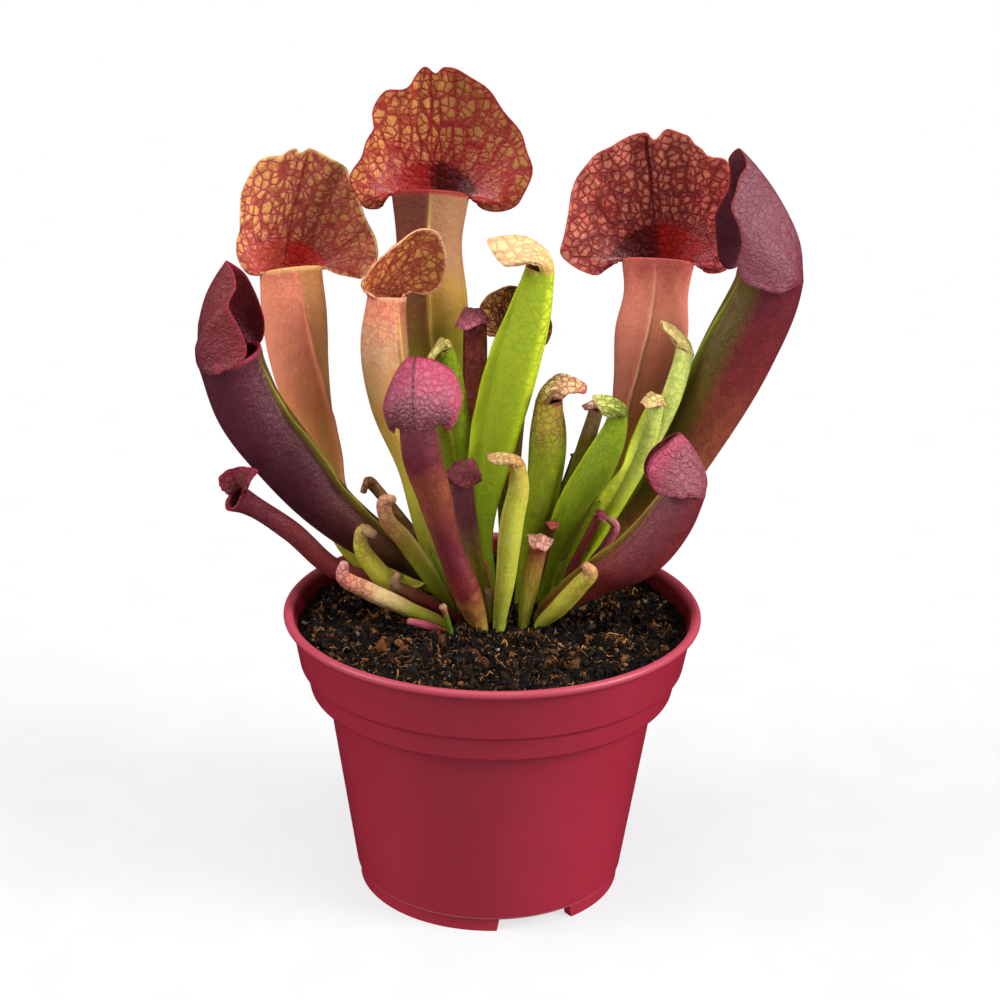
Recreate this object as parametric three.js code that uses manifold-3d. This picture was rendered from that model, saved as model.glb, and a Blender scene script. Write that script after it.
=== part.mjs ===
// A potted trumpet pitcher plant: pot, soil, buried rhizome and one closed solid for each leaf.
// Millimetres, +Z up. The origin is on the pot's axis at the level the foot ring stands on.
import * as THREE from 'three';
import Module from 'manifold-3d';
import { mergeVertices } from 'three/addons/utils/BufferGeometryUtils.js';

const wasm = await Module();
wasm.setup();

const DEGREE = Math.PI / 180;
const TURN = 2 * Math.PI;

// Pot
const POT_SIDES = 36;
const POT_HEIGHT = 84.6;
const RIM_RADIUS = 60;
const FOOT_HEIGHT = 3.6;
const BASE_RADIUS = 39.3;
const FLOOR_TOP = 5.2;
const BAND_FOOT = { radius: 52.6, height: 61.1 };
const BAND_STEP = { radius: 55.4, height: 68.5 };
const LIP_UNDERSIDE = 82;
const FOOT_RING = { inner: 35.4, outer: 38.4, gaps: [-68.4, 51.6, 171.6], gapAngle: 32.5 };
const DRAIN = { count: 6, circle: 27, radius: 3.5 };

// Soil
const SOIL_SIDES = 32;
const SOIL_CLEARANCE = 0.55;
// The pot's inner wall below the lip, from the top down: radius and height.
const INNER_WALL = [
  [54.1, BAND_STEP.height + 1.1],
  [52.5, BAND_STEP.height + 0.3],
  [51.2, BAND_FOOT.height + 1.1],
  [46.4, BAND_FOOT.height - 0.3],
  [BASE_RADIUS - 1.4, FLOOR_TOP],
];
const SOIL_EDGE = 79.2;
const SOIL_MOUND = -0.9;
const SOIL_RELIEF = 0.7;
const SOIL_RINGS = [10, 20, 30, 39, 47];
const HOLE_BOTTOM = 68;
const HOLE_CLEARANCE = 0.6;
const HOLE_SIDES = 6;

// Rhizome
const RHIZOME = { left: -9, right: 11, y: 12, z: 64, radius: 5, clearance: 0.45 };

// Leaves
const HOOD_SPREAD = 100 * DEGREE;
const FIN_FOOT = 0.3;
const FIN_HALF_THICKNESS = 0.35;
const TUBE_WALL = 0.8;
const BURIED_END = 70;
const COLLAR_HEIGHT = 76;
const STALK_RADIUS = 2.2;
const FIN_FROM = 0.08;
const NOD_FROM = 0.8;
const TWIST_FROM = 0.5;
const RUFFLE_WAVES = 3;
const NECK_END = 0.985;
const CAP_TURN = 112;
const MARGIN_WAVES = 1.9;
const LEAF_ROUGHNESS = 0.45;

const vector = (list) => new THREE.Vector3(list[0], list[1], list[2]);
const clamp = (value, low, high) => Math.min(Math.max(value, low), high);
const smooth = (value) => value * value * (3 - 2 * value);

// Slope at each knot of a smooth curve through values, from the parabola through its neighbours.
function slopes(knots, values) {
  const last = values.length - 1;
  const steps = [];
  for (let i = 0; i < last; i += 1) {
    steps.push((values[i + 1] - values[i]) / (knots[i + 1] - knots[i]));
  }
  const result = [steps[0]];
  for (let i = 1; i < last; i += 1) {
    const before = knots[i] - knots[i - 1];
    const after = knots[i + 1] - knots[i];
    result.push((steps[i - 1] * after + steps[i] * before) / (before + after));
  }
  result.push(steps[last - 1]);
  return result;
}

// Value at s of the smooth curve through values at knots.
function curveAt(knots, values, s) {
  const rates = slopes(knots, values);
  let i = 0;
  while (i < knots.length - 2 && s > knots[i + 1]) i += 1;
  const h = knots[i + 1] - knots[i];
  const u = (s - knots[i]) / h;
  const square = u * u;
  const cube = square * u;
  return (
    (2 * cube - 3 * square + 1) * values[i] +
    (cube - 2 * square + u) * h * rates[i] +
    (3 * square - 2 * cube) * values[i + 1] +
    (cube - square) * h * rates[i + 1]
  );
}

// Distances along a run of points, from 0 to 1.
function chordKnots(run) {
  const knots = [0];
  for (let i = 1; i < run.length; i += 1) {
    knots.push(knots[i - 1] + vector(run[i]).distanceTo(vector(run[i - 1])));
  }
  return knots.map((length) => length / knots[knots.length - 1]);
}

// A leaf's run with its end in the soil put before it.
function buriedRun(leaf) {
  const [x, y, z, radius] = leaf.run[0];
  const stalk = Math.min(radius, STALK_RADIUS);
  const collar = Math.min(z - 2, COLLAR_HEIGHT);
  const buried = [
    [x, y, BURIED_END, stalk],
    [x, y, (BURIED_END + collar) / 2, stalk],
    [x, y, collar, stalk],
  ];
  return [...buried, ...leaf.run.slice(1)];
}

// Centre, directions and radius of a leaf's tube at s, from 0 in the soil to 1 at the mouth.
function tubeFrame(leaf, s) {
  const { run, knots } = leaf;
  const channel = (k) => curveAt(knots, run.map((point) => point[k]), s);
  const centre = new THREE.Vector3(channel(0), channel(1), channel(2));
  const step = 0.002;
  const ahead = Math.min(s + step, 1);
  const behind = Math.max(s - step, 0);
  const along = new THREE.Vector3();
  ['x', 'y', 'z'].forEach((axis, k) => {
    const values = run.map((point) => point[k]);
    along[axis] = curveAt(knots, values, ahead) - curveAt(knots, values, behind);
  });
  along.normalize();
  const untwisted = smooth(clamp((s - TWIST_FROM) / (1 - TWIST_FROM), 0, 1));
  const turn = (leaf.face + (leaf.twist ?? 0) * (1 - untwisted)) * DEGREE;
  const facing = vector([Math.cos(turn), Math.sin(turn), leaf.lift ?? 0]);
  const front = facing.addScaledVector(along, -facing.dot(along)).normalize();
  const side = new THREE.Vector3().crossVectors(along, front);
  const nod = (leaf.nod ?? 0) * DEGREE * smooth(clamp((s - NOD_FROM) / (1 - NOD_FROM), 0, 1));
  const tipped = along.clone().multiplyScalar(Math.cos(nod)).addScaledVector(front, Math.sin(nod));
  const level = front.clone().multiplyScalar(Math.cos(nod)).addScaledVector(along, -Math.sin(nod));
  return { centre, along: tipped, front: level, side, radius: channel(3) };
}

// Height of a leaf's fin above the tube at s.
function finHeight(leaf, s) {
  return (leaf.wing ?? 0) * Math.sin(Math.PI * clamp((s - FIN_FROM) / (1 - FIN_FROM), 0, 1)) ** 0.8;
}

// Places along a leaf of its tube's rings: its foot, its collar, then evenly to the end.
function ringPlaces(leaf) {
  const collar = leaf.knots[2];
  const end = leaf.bud ? 1 : NECK_END;
  const places = [0];
  for (let i = 0; i < leaf.tubeRows; i += 1) {
    places.push(collar + ((end - collar) * i) / (leaf.tubeRows - 1));
  }
  return places;
}

// Angles round the tube: the hood's columns over the back, then the front columns with the fin's pair.
function tubeColumns(leaf) {
  const columns = [];
  for (let j = 0; j < leaf.hoodColumns; j += 1) {
    const angle = HOOD_SPREAD * ((2 * j) / (leaf.hoodColumns - 1) - 1);
    columns.push({ angle, fin: 0 });
  }
  const half = leaf.frontColumns / 2;
  const reach = Math.PI - FIN_FOOT - HOOD_SPREAD;
  for (let k = 1; k <= half; k += 1) {
    columns.push({ angle: HOOD_SPREAD + (reach * k) / half, fin: 0 });
  }
  columns.push({ angle: Math.PI, fin: 1 });
  columns.push({ angle: Math.PI, fin: -1 });
  for (let k = half; k >= 1; k -= 1) {
    columns.push({ angle: -HOOD_SPREAD - (reach * k) / half, fin: 0 });
  }
  return columns;
}

// Which columns the tube's rings keep: every few of the hood's, and all of the front.
function coarseColumns(leaf, count) {
  const kept = [];
  for (let j = 0; j < count; j += 1) {
    const inHood = j < leaf.hoodColumns;
    if (!inHood || j % leaf.skip === 0 || j === leaf.hoodColumns - 1) kept.push(j);
  }
  return kept;
}

// Joins a coarse ring to a fine one, whose columns lie between the kept ones.
function stitchRings(body, coarse, fine, kept, upward) {
  for (let a = 0; a < kept.length; a += 1) {
    const b = (a + 1) % kept.length;
    const from = kept[a];
    const to = b === 0 ? kept[b] + fine.length : kept[b];
    const middle = Math.floor((from + to + 1) / 2);
    const faces = [[coarse[b], coarse[a], fine[middle % fine.length]]];
    for (let f = from; f < to; f += 1) {
      const near = f < middle ? coarse[a] : coarse[b];
      faces.push([fine[(f + 1) % fine.length], near, fine[f % fine.length]]);
    }
    faces.forEach(([p, q, r]) => (upward ? body.triangle(p, q, r) : body.triangle(p, r, q)));
  }
}

// A point of the tube's wall, inset mm inside its outer face.
function wallPoint(frame, column, inset, finHeight) {
  const radius = Math.max(frame.radius - inset, 0.35);
  const point = frame.centre.clone();
  if (column.fin === 0) {
    point.addScaledVector(frame.side, radius * Math.sin(column.angle));
    point.addScaledVector(frame.front, -radius * Math.cos(column.angle));
    return point;
  }
  point.addScaledVector(frame.front, radius + finHeight);
  return point.addScaledVector(frame.side, column.fin * Math.min(FIN_HALF_THICKNESS, radius * 0.3));
}

// The hood's margin, as one point for each hood column.
function hoodMargin(leaf, mouth) {
  if (leaf.margin) return leaf.margin.map(vector);
  const { span, reach, drop } = leaf.cap;
  const points = [];
  for (let j = 0; j < leaf.hoodColumns; j += 1) {
    const angle = CAP_TURN * DEGREE * ((2 * j) / (leaf.hoodColumns - 1) - 1);
    const point = mouth.centre.clone();
    point.addScaledVector(mouth.side, span * Math.sin(angle));
    point.addScaledVector(mouth.front, reach * Math.cos(angle));
    point.addScaledVector(mouth.along, 0.9 - drop * Math.cos(angle) + 0.3 * Math.cos(5 * angle));
    points.push(point);
  }
  return points;
}

// Outer face of the hood: ribs from the rim to the margin, bulged outward and waved at the margin.
function hoodSheet(leaf, mouth, columns, rim) {
  const margin = hoodMargin(leaf, mouth);
  const rows = [];
  for (let i = 1; i <= leaf.hoodRows; i += 1) {
    const t = i / leaf.hoodRows;
    rows.push(margin.map((edge, j) => {
      const across = (2 * j) / (leaf.hoodColumns - 1) - 1;
      const out = mouth.side.clone().multiplyScalar(Math.sin(columns[j].angle));
      out.addScaledVector(mouth.front, -Math.cos(columns[j].angle));
      out.addScaledVector(mouth.along, leaf.crest ?? 0.3).normalize();
      const dome = leaf.dome * (1 - 0.6 * across * across) * 4 * t * (1 - t);
      const wave = (leaf.wave ?? 0) * t * t * Math.sin(leaf.hoodColumns * MARGIN_WAVES * across);
      return rim[j].clone().lerp(edge, t).addScaledVector(out, dome + wave);
    }));
  }
  return rows;
}

// Normals of a sheet of points, pointing away from the hood's hollow.
function sheetNormals(rows) {
  return rows.map((row, i) => row.map((point, j) => {
    const up = rows[Math.min(i + 1, rows.length - 1)][j].clone().sub(rows[Math.max(i - 1, 0)][j]);
    const over = row[Math.min(j + 1, row.length - 1)].clone().sub(row[Math.max(j - 1, 0)]);
    return up.cross(over).normalize();
  }));
}

// Collects points and faces of one closed surface.
function surface() {
  const positions = [];
  const faces = [];
  return {
    add(point) {
      positions.push(point.x, point.y, point.z);
      return positions.length / 3 - 1;
    },
    quad(a, b, c, d) {
      faces.push(a, b, c, a, c, d);
    },
    triangle(a, b, c) {
      faces.push(a, b, c);
    },
    geometry() {
      const geometry = new THREE.BufferGeometry();
      geometry.setAttribute('position', new THREE.Float32BufferAttribute(positions, 3));
      geometry.setIndex(faces);
      geometry.computeVertexNormals();
      return geometry;
    },
  };
}

// One leaf: a hollow tube with its fin, the rolled lip and the hood, all one closed body.
function leafGeometry(leaf) {
  const columns = tubeColumns(leaf);
  const count = columns.length;
  const hood = leaf.hoodColumns;
  const body = surface();
  const kept = coarseColumns(leaf, count);
  const outer = ringPlaces(leaf).map((s) => {
    const frame = tubeFrame(leaf, s);
    const height = finHeight(leaf, s);
    const sway = (leaf.ruffle ?? 0) * Math.sin(TURN * RUFFLE_WAVES * s) * Math.min(height, 1);
    return kept.map((j) => {
      const point = wallPoint(frame, columns[j], 0, height);
      if (columns[j].fin !== 0) point.addScaledVector(frame.side, sway);
      return body.add(point);
    });
  });
  const mouth = tubeFrame(leaf, 1);
  const wall = Math.min(TUBE_WALL, mouth.radius * 0.35);
  const rim = columns.map((column, j) => wallPoint(mouth, column, j < hood ? 0 : -leaf.lip, 0));
  const rimOut = rim.map(body.add);
  const rimIn = columns.map((column) => body.add(wallPoint(mouth, column, wall, 0)));
  const inner = [];
  for (let i = 1; i <= leaf.innerRows; i += 1) {
    const frame = tubeFrame(leaf, 1 - (leaf.depth * i) / leaf.innerRows);
    inner.push(kept.map((j) => body.add(wallPoint(frame, columns[j], wall, 0))));
  }
  [outer, inner].forEach((rings) => {
    for (let i = 0; i < rings.length - 1; i += 1) {
      for (let j = 0; j < kept.length; j += 1) {
        const k = (j + 1) % kept.length;
        body.quad(rings[i][k], rings[i][j], rings[i + 1][j], rings[i + 1][k]);
      }
    }
  });
  stitchRings(body, outer[leaf.tubeRows], rimOut, kept, true);
  stitchRings(body, inner[0], rimIn, kept, false);
  const foot = body.add(tubeFrame(leaf, 0).centre);
  const well = body.add(tubeFrame(leaf, 1 - leaf.depth).centre);
  for (let j = 0; j < kept.length; j += 1) {
    const k = (j + 1) % kept.length;
    body.triangle(foot, outer[0][j], outer[0][k]);
    body.triangle(well, inner[leaf.innerRows - 1][k], inner[leaf.innerRows - 1][j]);
  }
  const backRim = rim.slice(0, hood);
  const sheet = hoodSheet(leaf, mouth, columns, backRim);
  const normals = sheetNormals([backRim, ...sheet]);
  const outside = [rimOut.slice(0, hood)];
  const inside = [rimIn.slice(0, hood)];
  sheet.forEach((row, i) => {
    outside.push(row.map(body.add));
    const under = row.map((point, j) => point.clone().addScaledVector(normals[i + 1][j], -leaf.sheet));
    inside.push(under.map(body.add));
  });
  for (let i = 0; i < outside.length - 1; i += 1) {
    for (let j = 0; j < hood - 1; j += 1) {
      body.quad(outside[i][j + 1], outside[i][j], outside[i + 1][j], outside[i + 1][j + 1]);
      body.triangle(inside[i][j + 1], inside[i + 1][j], inside[i][j]);
      body.triangle(inside[i][j + 1], inside[i + 1][j + 1], inside[i + 1][j]);
    }
  }
  closeEdge(body, rimOut, rimIn, outside, inside, hood);
  return body.geometry();
}

// The strip between the two faces: up one side of the hood, over its margin, down, and along the lip.
function closeEdge(body, rim, innerRim, outside, inside, hood) {
  const top = outside.length - 1;
  const loopOut = outside.map((row) => row[0]);
  const loopIn = inside.map((row) => row[0]);
  for (let j = 1; j < hood; j += 1) {
    loopOut.push(outside[top][j]);
    loopIn.push(inside[top][j]);
  }
  for (let i = top - 1; i >= 0; i -= 1) {
    loopOut.push(outside[i][hood - 1]);
    loopIn.push(inside[i][hood - 1]);
  }
  loopOut.push(...rim.slice(hood));
  loopIn.push(...innerRim.slice(hood));
  for (let a = 0; a < loopOut.length; a += 1) {
    const b = (a + 1) % loopOut.length;
    body.quad(loopOut[b], loopOut[a], loopIn[a], loopIn[b]);
  }
}

// A young leaf without an open mouth: a tapered solid along its run, with its fin and a blunt tip.
function budGeometry(leaf) {
  const sides = leaf.sides ?? 7;
  const rows = leaf.tubeRows;
  const body = surface();
  const rings = ringPlaces(leaf).map((s) => {
    const frame = tubeFrame(leaf, s);
    const ring = [];
    for (let j = 0; j < sides; j += 1) {
      const angle = (TURN * j) / sides;
      const flat = leaf.flat ?? 1;
      const fin = j === 0 ? finHeight(leaf, s) : 0;
      const point = frame.centre.clone();
      point.addScaledVector(frame.front, (frame.radius * flat + fin) * Math.cos(angle));
      point.addScaledVector(frame.side, -frame.radius * Math.sin(angle));
      ring.push(body.add(point));
    }
    return ring;
  });
  const foot = body.add(tubeFrame(leaf, 0).centre);
  const end = tubeFrame(leaf, 1);
  const tip = body.add(end.centre.clone().addScaledVector(end.along, end.radius * (leaf.blunt ?? 0.8)));
  for (let j = 0; j < sides; j += 1) {
    const k = (j + 1) % sides;
    for (let i = 0; i < rows; i += 1) body.quad(rings[i][j], rings[i + 1][j], rings[i + 1][k], rings[i][k]);
    body.triangle(foot, rings[0][j], rings[0][k]);
    body.triangle(tip, rings[rows][k], rings[rows][j]);
  }
  return body.geometry();
}

// Fineness of a leaf by its size.
const LARGE = {
  skip: 3,
  frontColumns: 2,
  tubeRows: 8,
  innerRows: 2,
  hoodRows: 3,
  depth: 0.3,
  lip: 0.6,
  sheet: 0.8,
};
const MIDDLE = {
  skip: 2,
  frontColumns: 2,
  tubeRows: 7,
  innerRows: 1,
  hoodRows: 3,
  depth: 0.25,
  lip: 0.4,
  sheet: 0.7,
};
const SMALL = {
  skip: 2,
  hoodColumns: 7,
  frontColumns: 2,
  tubeRows: 5,
  innerRows: 1,
  hoodRows: 2,
  depth: 0.15,
  lip: 0.2,
  sheet: 0.6,
};

// Each run lists x, y, z and radius from the crown to the mouth; face is the direction the mouth looks.
const LEAVES = {
  leaf_hood_left: {
    ...LARGE,
    color: 0xb5582f,
    face: -68,
    twist: 45,
    nod: -8,
    wing: 2.2,
    dome: 3,
    wave: 0.5,
    run: [[-11, 22, 78, 2.4], [-16.5, 23.5, 80, 2.5], [-29.5, 26.5, 81.3, 3.2], [-42, 30.5, 90, 4.3],
      [-49, 34.5, 103, 4.4],
      [-53, 38, 122, 5.2], [-58, 40, 142, 8.3],
      [-60, 42, 160, 9.6], [-61, 44, 171, 9.1]],
    margin: [[-72, 46, 169], [-75, 43, 173], [-76, 44, 182], [-75, 46, 192], [-72, 48, 201],
      [-67, 49, 204],
      [-63, 50, 204.5], [-60, 50, 206.5], [-58, 50, 205], [-55.5, 50, 206.5], [-50, 50, 204],
      [-45, 50, 201],
      [-43, 49, 197], [-40, 47, 190], [-37, 45, 183], [-35, 43, 178], [-37.5, 43, 172.5], [-41, 45, 169],
      [-48, 46.5, 169.5]],
  },
  leaf_hood_centre: {
    ...LARGE,
    color: 0xb06a3c,
    face: -90,
    nod: -10,
    wing: 1.6,
    dome: 3,
    wave: 0.5,
    run: [[-4, 30, 74, 3], [-8, 34, 98, 4.2], [-12, 36, 123, 5.7], [-17, 38, 144, 9.2],
      [-19.6, 39.8, 164, 10.8], [-20.2, 42, 182, 9.6],
      [-20, 44, 194, 11.2]],
    margin: [[-34, 48, 188], [-40, 45, 191], [-43, 44, 199], [-40, 46, 206], [-37, 48, 212],
      [-37, 50, 217],
      [-34, 52, 223], [-28, 53, 223.5], [-25, 54, 227], [-22, 54, 230], [-19, 54, 228], [-16, 54, 230],
      [-10, 54, 228], [-4, 53, 224], [2, 51, 217], [7, 48, 210], [9, 45, 203], [7.5, 45, 195],
      [2, 46, 190],
      [-6, 48, 189]],
  },
  leaf_hood_right: {
    ...LARGE,
    color: 0xa8442f,
    face: -96,
    twist: -18,
    nod: -8,
    wing: 1.6,
    dome: 3,
    wave: 0.5,
    run: [[11, 30, 75, 2.8], [24, 38, 92, 3.8], [38, 40, 119, 4.8], [43, 41, 139, 8.3], [45.7, 42.6, 155, 10.8],
      [46.7, 44.6, 167, 9.5], [47, 46, 175, 10.6]],
    margin: [[33.6, 48.5, 172.4], [29.1, 47.5, 170.9], [25.6, 46.5, 171.9], [21.1, 45.5, 174.4],
      [18.1, 44.5, 179.4], [20.1, 45.5, 186.4], [20.1, 46.5, 191.4], [23.1, 48.5, 200.4],
      [27.1, 49.5, 205.4], [32.1, 50.5, 208.4], [38.1, 51.5, 211.4], [42.1, 51.5, 212.4],
      [45.1, 51.5, 210.4], [48.1, 51.5, 213.4], [53.1, 51.5, 212.4], [56.1, 50.5, 210.4],
      [58.1, 49.5, 208.4], [61.1, 48.5, 206.4], [66.1, 47.5, 204.4], [69.1, 46.5, 193.4],
      [69.1, 45.5, 182.4], [67.1, 46.5, 173.4], [61.1, 48.5, 170.9]],
  },
  leaf_maroon_left: {
    ...LARGE,
    color: 0x5e1f2b,
    face: -20,
    wing: 3,
    dome: 4.5,
    crest: 0.1,
    run: [[-7, 16, 78, 2.6], [-25, 17, 91.5, 4.6], [-38, 15.5, 99.7, 6.4], [-50, 13.5, 111, 7.8],
      [-60, 11.5, 124.5, 9.2], [-70, 9.5, 140, 9.6], [-75, 8, 155, 9]],
    margin: [[-78, -2, 158], [-76, -2.5, 155], [-73, -2.5, 155], [-70, -2, 157], [-69, -1.5, 160],
      [-71, -1, 166],
      [-74, 0, 172], [-72, 2, 177], [-73, 4, 181], [-75, 7, 183], [-72, 11, 180], [-70, 13, 177],
      [-68, 15, 172],
      [-67, 17, 168], [-66, 18, 163], [-66.5, 18.5, 158], [-69, 18.5, 155], [-72, 18.5, 156]],
  },
  leaf_maroon_right: {
    ...LARGE,
    color: 0x6a2630,
    face: 198,
    wing: 2.4,
    dome: 5,
    crest: 0.1,
    run: [[10, 25, 75, 2.6], [29, 28, 88.5, 4.5], [47, 29, 106.5, 6.6], [59.5, 26, 131.5, 9.3],
      [69.5, 23, 155.5, 10.6],
      [76.2, 20, 174, 9.7], [77.2, 19, 179, 9.2]],
    margin: [[70.3, 30, 178], [66.3, 30.5, 177], [63.3, 30, 180], [62.3, 30, 185], [61.3, 28, 193],
      [62.3, 26, 197], [64.3, 24, 202], [64.3, 23, 207], [63.8, 22, 211], [66.3, 20, 214],
      [68.3, 17, 210],
      [66.3, 15, 207], [65.3, 13, 203], [64.3, 11, 199], [66.3, 10, 194], [67.3, 9, 189],
      [66.3, 8.5, 184],
      [67.3, 8, 180], [70.3, 7.5, 178], [74.3, 7.5, 178.5], [77.3, 8, 182]],
  },
  leaf_purple_low_right: {
    ...MIDDLE,
    color: 0x7a2740,
    face: 190,
    lift: 0.5,
    wing: 2.4,
    dome: 3,
    crest: 0.3,
    run: [[14, 3, 80, 2.4], [29, 0, 92.4, 4.8], [42, -4, 102.4, 6.6], [50, -6, 114.4, 6.5],
      [54, -6, 123.4, 5.6]],
    margin: [[49, 1, 121.4], [44, 1, 122.4], [42, 0, 127.4], [44, -2, 133.4], [48.8, -3.2, 137.8],
      [51.2, -6, 139.6], [48.8, -9, 138.4], [44, -11, 134.4], [42, -12, 130.4], [43, -12, 126.4],
      [46, -12.5, 123.4], [51, -12.5, 123.4]],
  },
  leaf_pink_front: {
    ...MIDDLE,
    color: 0x8a3a4a,
    face: 84,
    wing: 0,
    dome: 3.5,
    crest: 0.5,
    run: [[-3, -3, 77, 2.4], [-7, -5, 89, 4], [-13, -8, 107, 3.8], [-17, -11, 123, 4.9],
      [-20, -13, 134, 5.4],
      [-21, -14, 143, 5.2]],
    margin: [[-15, -13, 141.5], [-12, -12, 141.5], [-10, -10, 145], [-9, -9, 150], [-11, -8, 156],
      [-15, -8, 159],
      [-20, -8, 160.5], [-24, -7, 160], [-27, -7, 157], [-29, -8, 153], [-30, -9, 148], [-29, -10, 143],
      [-28, -12, 140],
      [-26.5, -13.5, 142]],
  },
  leaf_orange_left: {
    ...MIDDLE,
    color: 0xbf7a40,
    face: -50,
    twist: 20,
    wing: 2.2,
    dome: 2.5,
    crest: 0.5,
    run: [[-7.5, 9, 81, 1.9], [-15, 7.7, 89.5, 2.4], [-20, 9.5, 103.5, 2.8], [-24, 12, 121.5, 3.8],
      [-30, 15.5, 141, 6.2],
      [-32, 18, 157, 6.8], [-31.5, 20, 170, 5.4]],
    margin: [[-37, 15, 172.5], [-38, 14, 175], [-36, 13, 179], [-33, 13, 183], [-28, 14, 187],
      [-25, 17, 189],
      [-21, 20, 190], [-17, 23, 188], [-15, 25, 182], [-15, 26, 176], [-17, 26, 171.5],
      [-21, 25.5, 169.5],
      [-26, 25.5, 171]],
  },
  leaf_lime_tall: {
    ...MIDDLE,
    color: 0x9fc22f,
    face: 190,
    wing: 4,
    dome: 5.4,
    crest: 1.4,
    run: [[0, 14, 78, 2.1], [-3, 15, 102, 2.9], [1, 15, 127, 4.8], [6, 15, 151, 6], [10, 15, 168, 5.3],
      [12, 15, 180, 4]],
    margin: [[8.5, 20, 182.5], [3.5, 20, 182.5], [0, 19, 185], [-2, 16, 188.5], [-3, 13, 188],
      [-0.5, 11, 184.5], [2, 10, 182], [4.5, 10, 182], [8.5, 10, 182.5]],
  },
  leaf_dark_small_left: {
    ...MIDDLE,
    color: 0x6b1c2c,
    face: 205,
    lift: -1.5,
    wing: 0,
    dome: 1,
    crest: 0.4,
    run: [[-14, 9.3, 80, 1.5], [-28, 7.4, 86.5, 2], [-46, 4, 93.6, 2.9], [-58, 1.5, 105.8, 3.1],
      [-69, 0, 114, 3.2],
      [-73, -2, 117, 4]],
    margin: [[-78, 3, 118], [-78, 3, 121], [-75, 2, 124], [-70, -2, 126], [-66, -5, 126],
      [-68, -6, 124], [-69, -6, 122]],
  },
  leaf_netted_green: {
    ...MIDDLE,
    color: 0x8c9a3a,
    face: -10,
    wing: 1,
    dome: 4.4,
    crest: 2.4,
    run: [[8, 14, 78, 1.8], [11, 14, 98, 3], [14, 14, 118, 4.6], [15, 14, 134, 4.9], [15, 14, 142, 3.7]],
    margin: [[18.5, 8, 143.5], [20, 7, 146], [23, 8, 146.5], [25.5, 10, 146], [25.5, 13, 147.5],
      [23, 17, 147.5],
      [21, 19.5, 145], [18, 19.5, 143]],
  },
  leaf_green_curled: {
    ...MIDDLE,
    color: 0x7fae2c,
    face: 190,
    wing: 1.4,
    dome: 2.6,
    crest: 1,
    run: [[15, 11.5, 79, 1.5], [17.5, 11, 94.5, 2], [23, 10, 111.5, 3.8], [30, 9.5, 124.5, 4.6],
      [34, 9.5, 134.7, 3.5],
      [35, 9.5, 139.7, 2.6]],
    margin: [[31.5, 13, 138.7], [30, 13, 140.7], [28, 12, 143.2], [27.5, 10, 145.2], [28, 8, 144.2],
      [29.5, 6.5, 141.7], [31.5, 6.5, 139.2]],
  },
  leaf_yellow_tall: {
    ...MIDDLE,
    color: 0xc9c063,
    face: 200,
    wing: 0.6,
    dome: 1.6,
    crest: 1,
    run: [[18.2, 20, 77.5, 1.4], [31, 21.3, 98.6, 2], [44, 18.5, 126.2, 2.5], [50.5, 17.3, 143.3, 2.9],
      [54, 19.5, 155.5, 2.6]],
    margin: [[51.5, 23, 155.9], [50, 23, 158.4], [47, 22.5, 162.4], [47, 20.5, 164.4], [48, 18, 162.4],
      [51, 17, 159.4], [53, 17, 156.9]],
  },
  leaf_pale_front: {
    ...MIDDLE,
    color: 0xb9bf5a,
    face: 188,
    wing: 0.6,
    dome: 1.8,
    crest: 1.2,
    run: [[2, -3, 78, 1.7], [4, -4, 95, 2.6], [5.5, -5, 113, 3.1], [7, -5, 123, 2.8],
      [6.5, -5, 129, 2.2]],
    margin: [[3.5, -2.5, 129.5], [1, -2.5, 129.5], [-1, -3.5, 130.5], [-2, -5.5, 132], [-1.5, -7.5, 131],
      [0.5, -8, 130], [3.5, -7.5, 129.5]],
  },
  leaf_netted_brown: {
    ...MIDDLE,
    color: 0x7a5a2c,
    face: -90,
    wing: 0,
    dome: 2,
    crest: 0.4,
    run: [[4, 36, 74, 1.5], [4, 36, 98, 2.8], [4, 36, 126, 4.4], [5, 37, 146, 5], [5, 38, 154, 5.2]],
    margin: [[-2.5, 35, 154.5], [-5, 35, 159], [-5, 35, 164], [-3, 36, 167], [0, 37, 168.5],
      [4, 38, 169.5],
      [9, 38, 168], [13, 37, 164], [16, 36, 159], [15, 36, 153], [12, 37, 152]],
  },
  leaf_ruffled: {
    ...SMALL,
    color: 0xa5b84a,
    face: 205,
    crest: 2.2,
    ruffle: 1,
    wing: 4.2,
    dome: 2.8,
    cap: { span: 4, reach: 4.6, drop: 1 },
    run: [[22, 17, 79, 1.4], [28.3, 15.5, 98.4, 2], [37.7, 14.2, 115.8, 2.5], [43.8, 12.6, 132, 2.6],
      [45.6, 12.2, 142.1, 2.4]],
  },
  leaf_hook_behind_curled: {
    ...SMALL,
    color: 0x8a9a4a,
    face: 195,
    crest: 2,
    wing: 0.6,
    dome: 2.4,
    cap: { span: 2.6, reach: 4.6, drop: 0.8 },
    run: [[12.5, 16.7, 79, 1.2], [18.8, 17, 102.5, 1.8], [26, 17, 127, 2.3], [29, 16.8, 138.8, 2.1]],
  },
  leaf_brown_cap: {
    ...SMALL,
    color: 0x8c4a3c,
    face: 215,
    crest: 2.2,
    wing: 0,
    dome: 4.4,
    cap: { span: 5.2, reach: 6.2, drop: 1.6 },
    run: [[0, 22.5, 76, 1.5], [-4, 22.8, 104, 2.5], [-5.8, 23, 134, 3.2], [-6.2, 23, 155, 3.5],
      [-6.2, 23, 162.3, 3.3]],
  },
  leaf_purple_cap: {
    ...SMALL,
    color: 0x6d3444,
    face: -40,
    crest: 2.4,
    wing: 0,
    dome: 5,
    cap: { span: 5.8, reach: 6, drop: 1.4 },
    run: [[-1.8, 3.6, 81, 1.4], [-5.5, 2.6, 99, 2.4], [-8.4, 2, 114, 3.2], [-9.4, 1, 122.8, 3.4]],
  },
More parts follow.
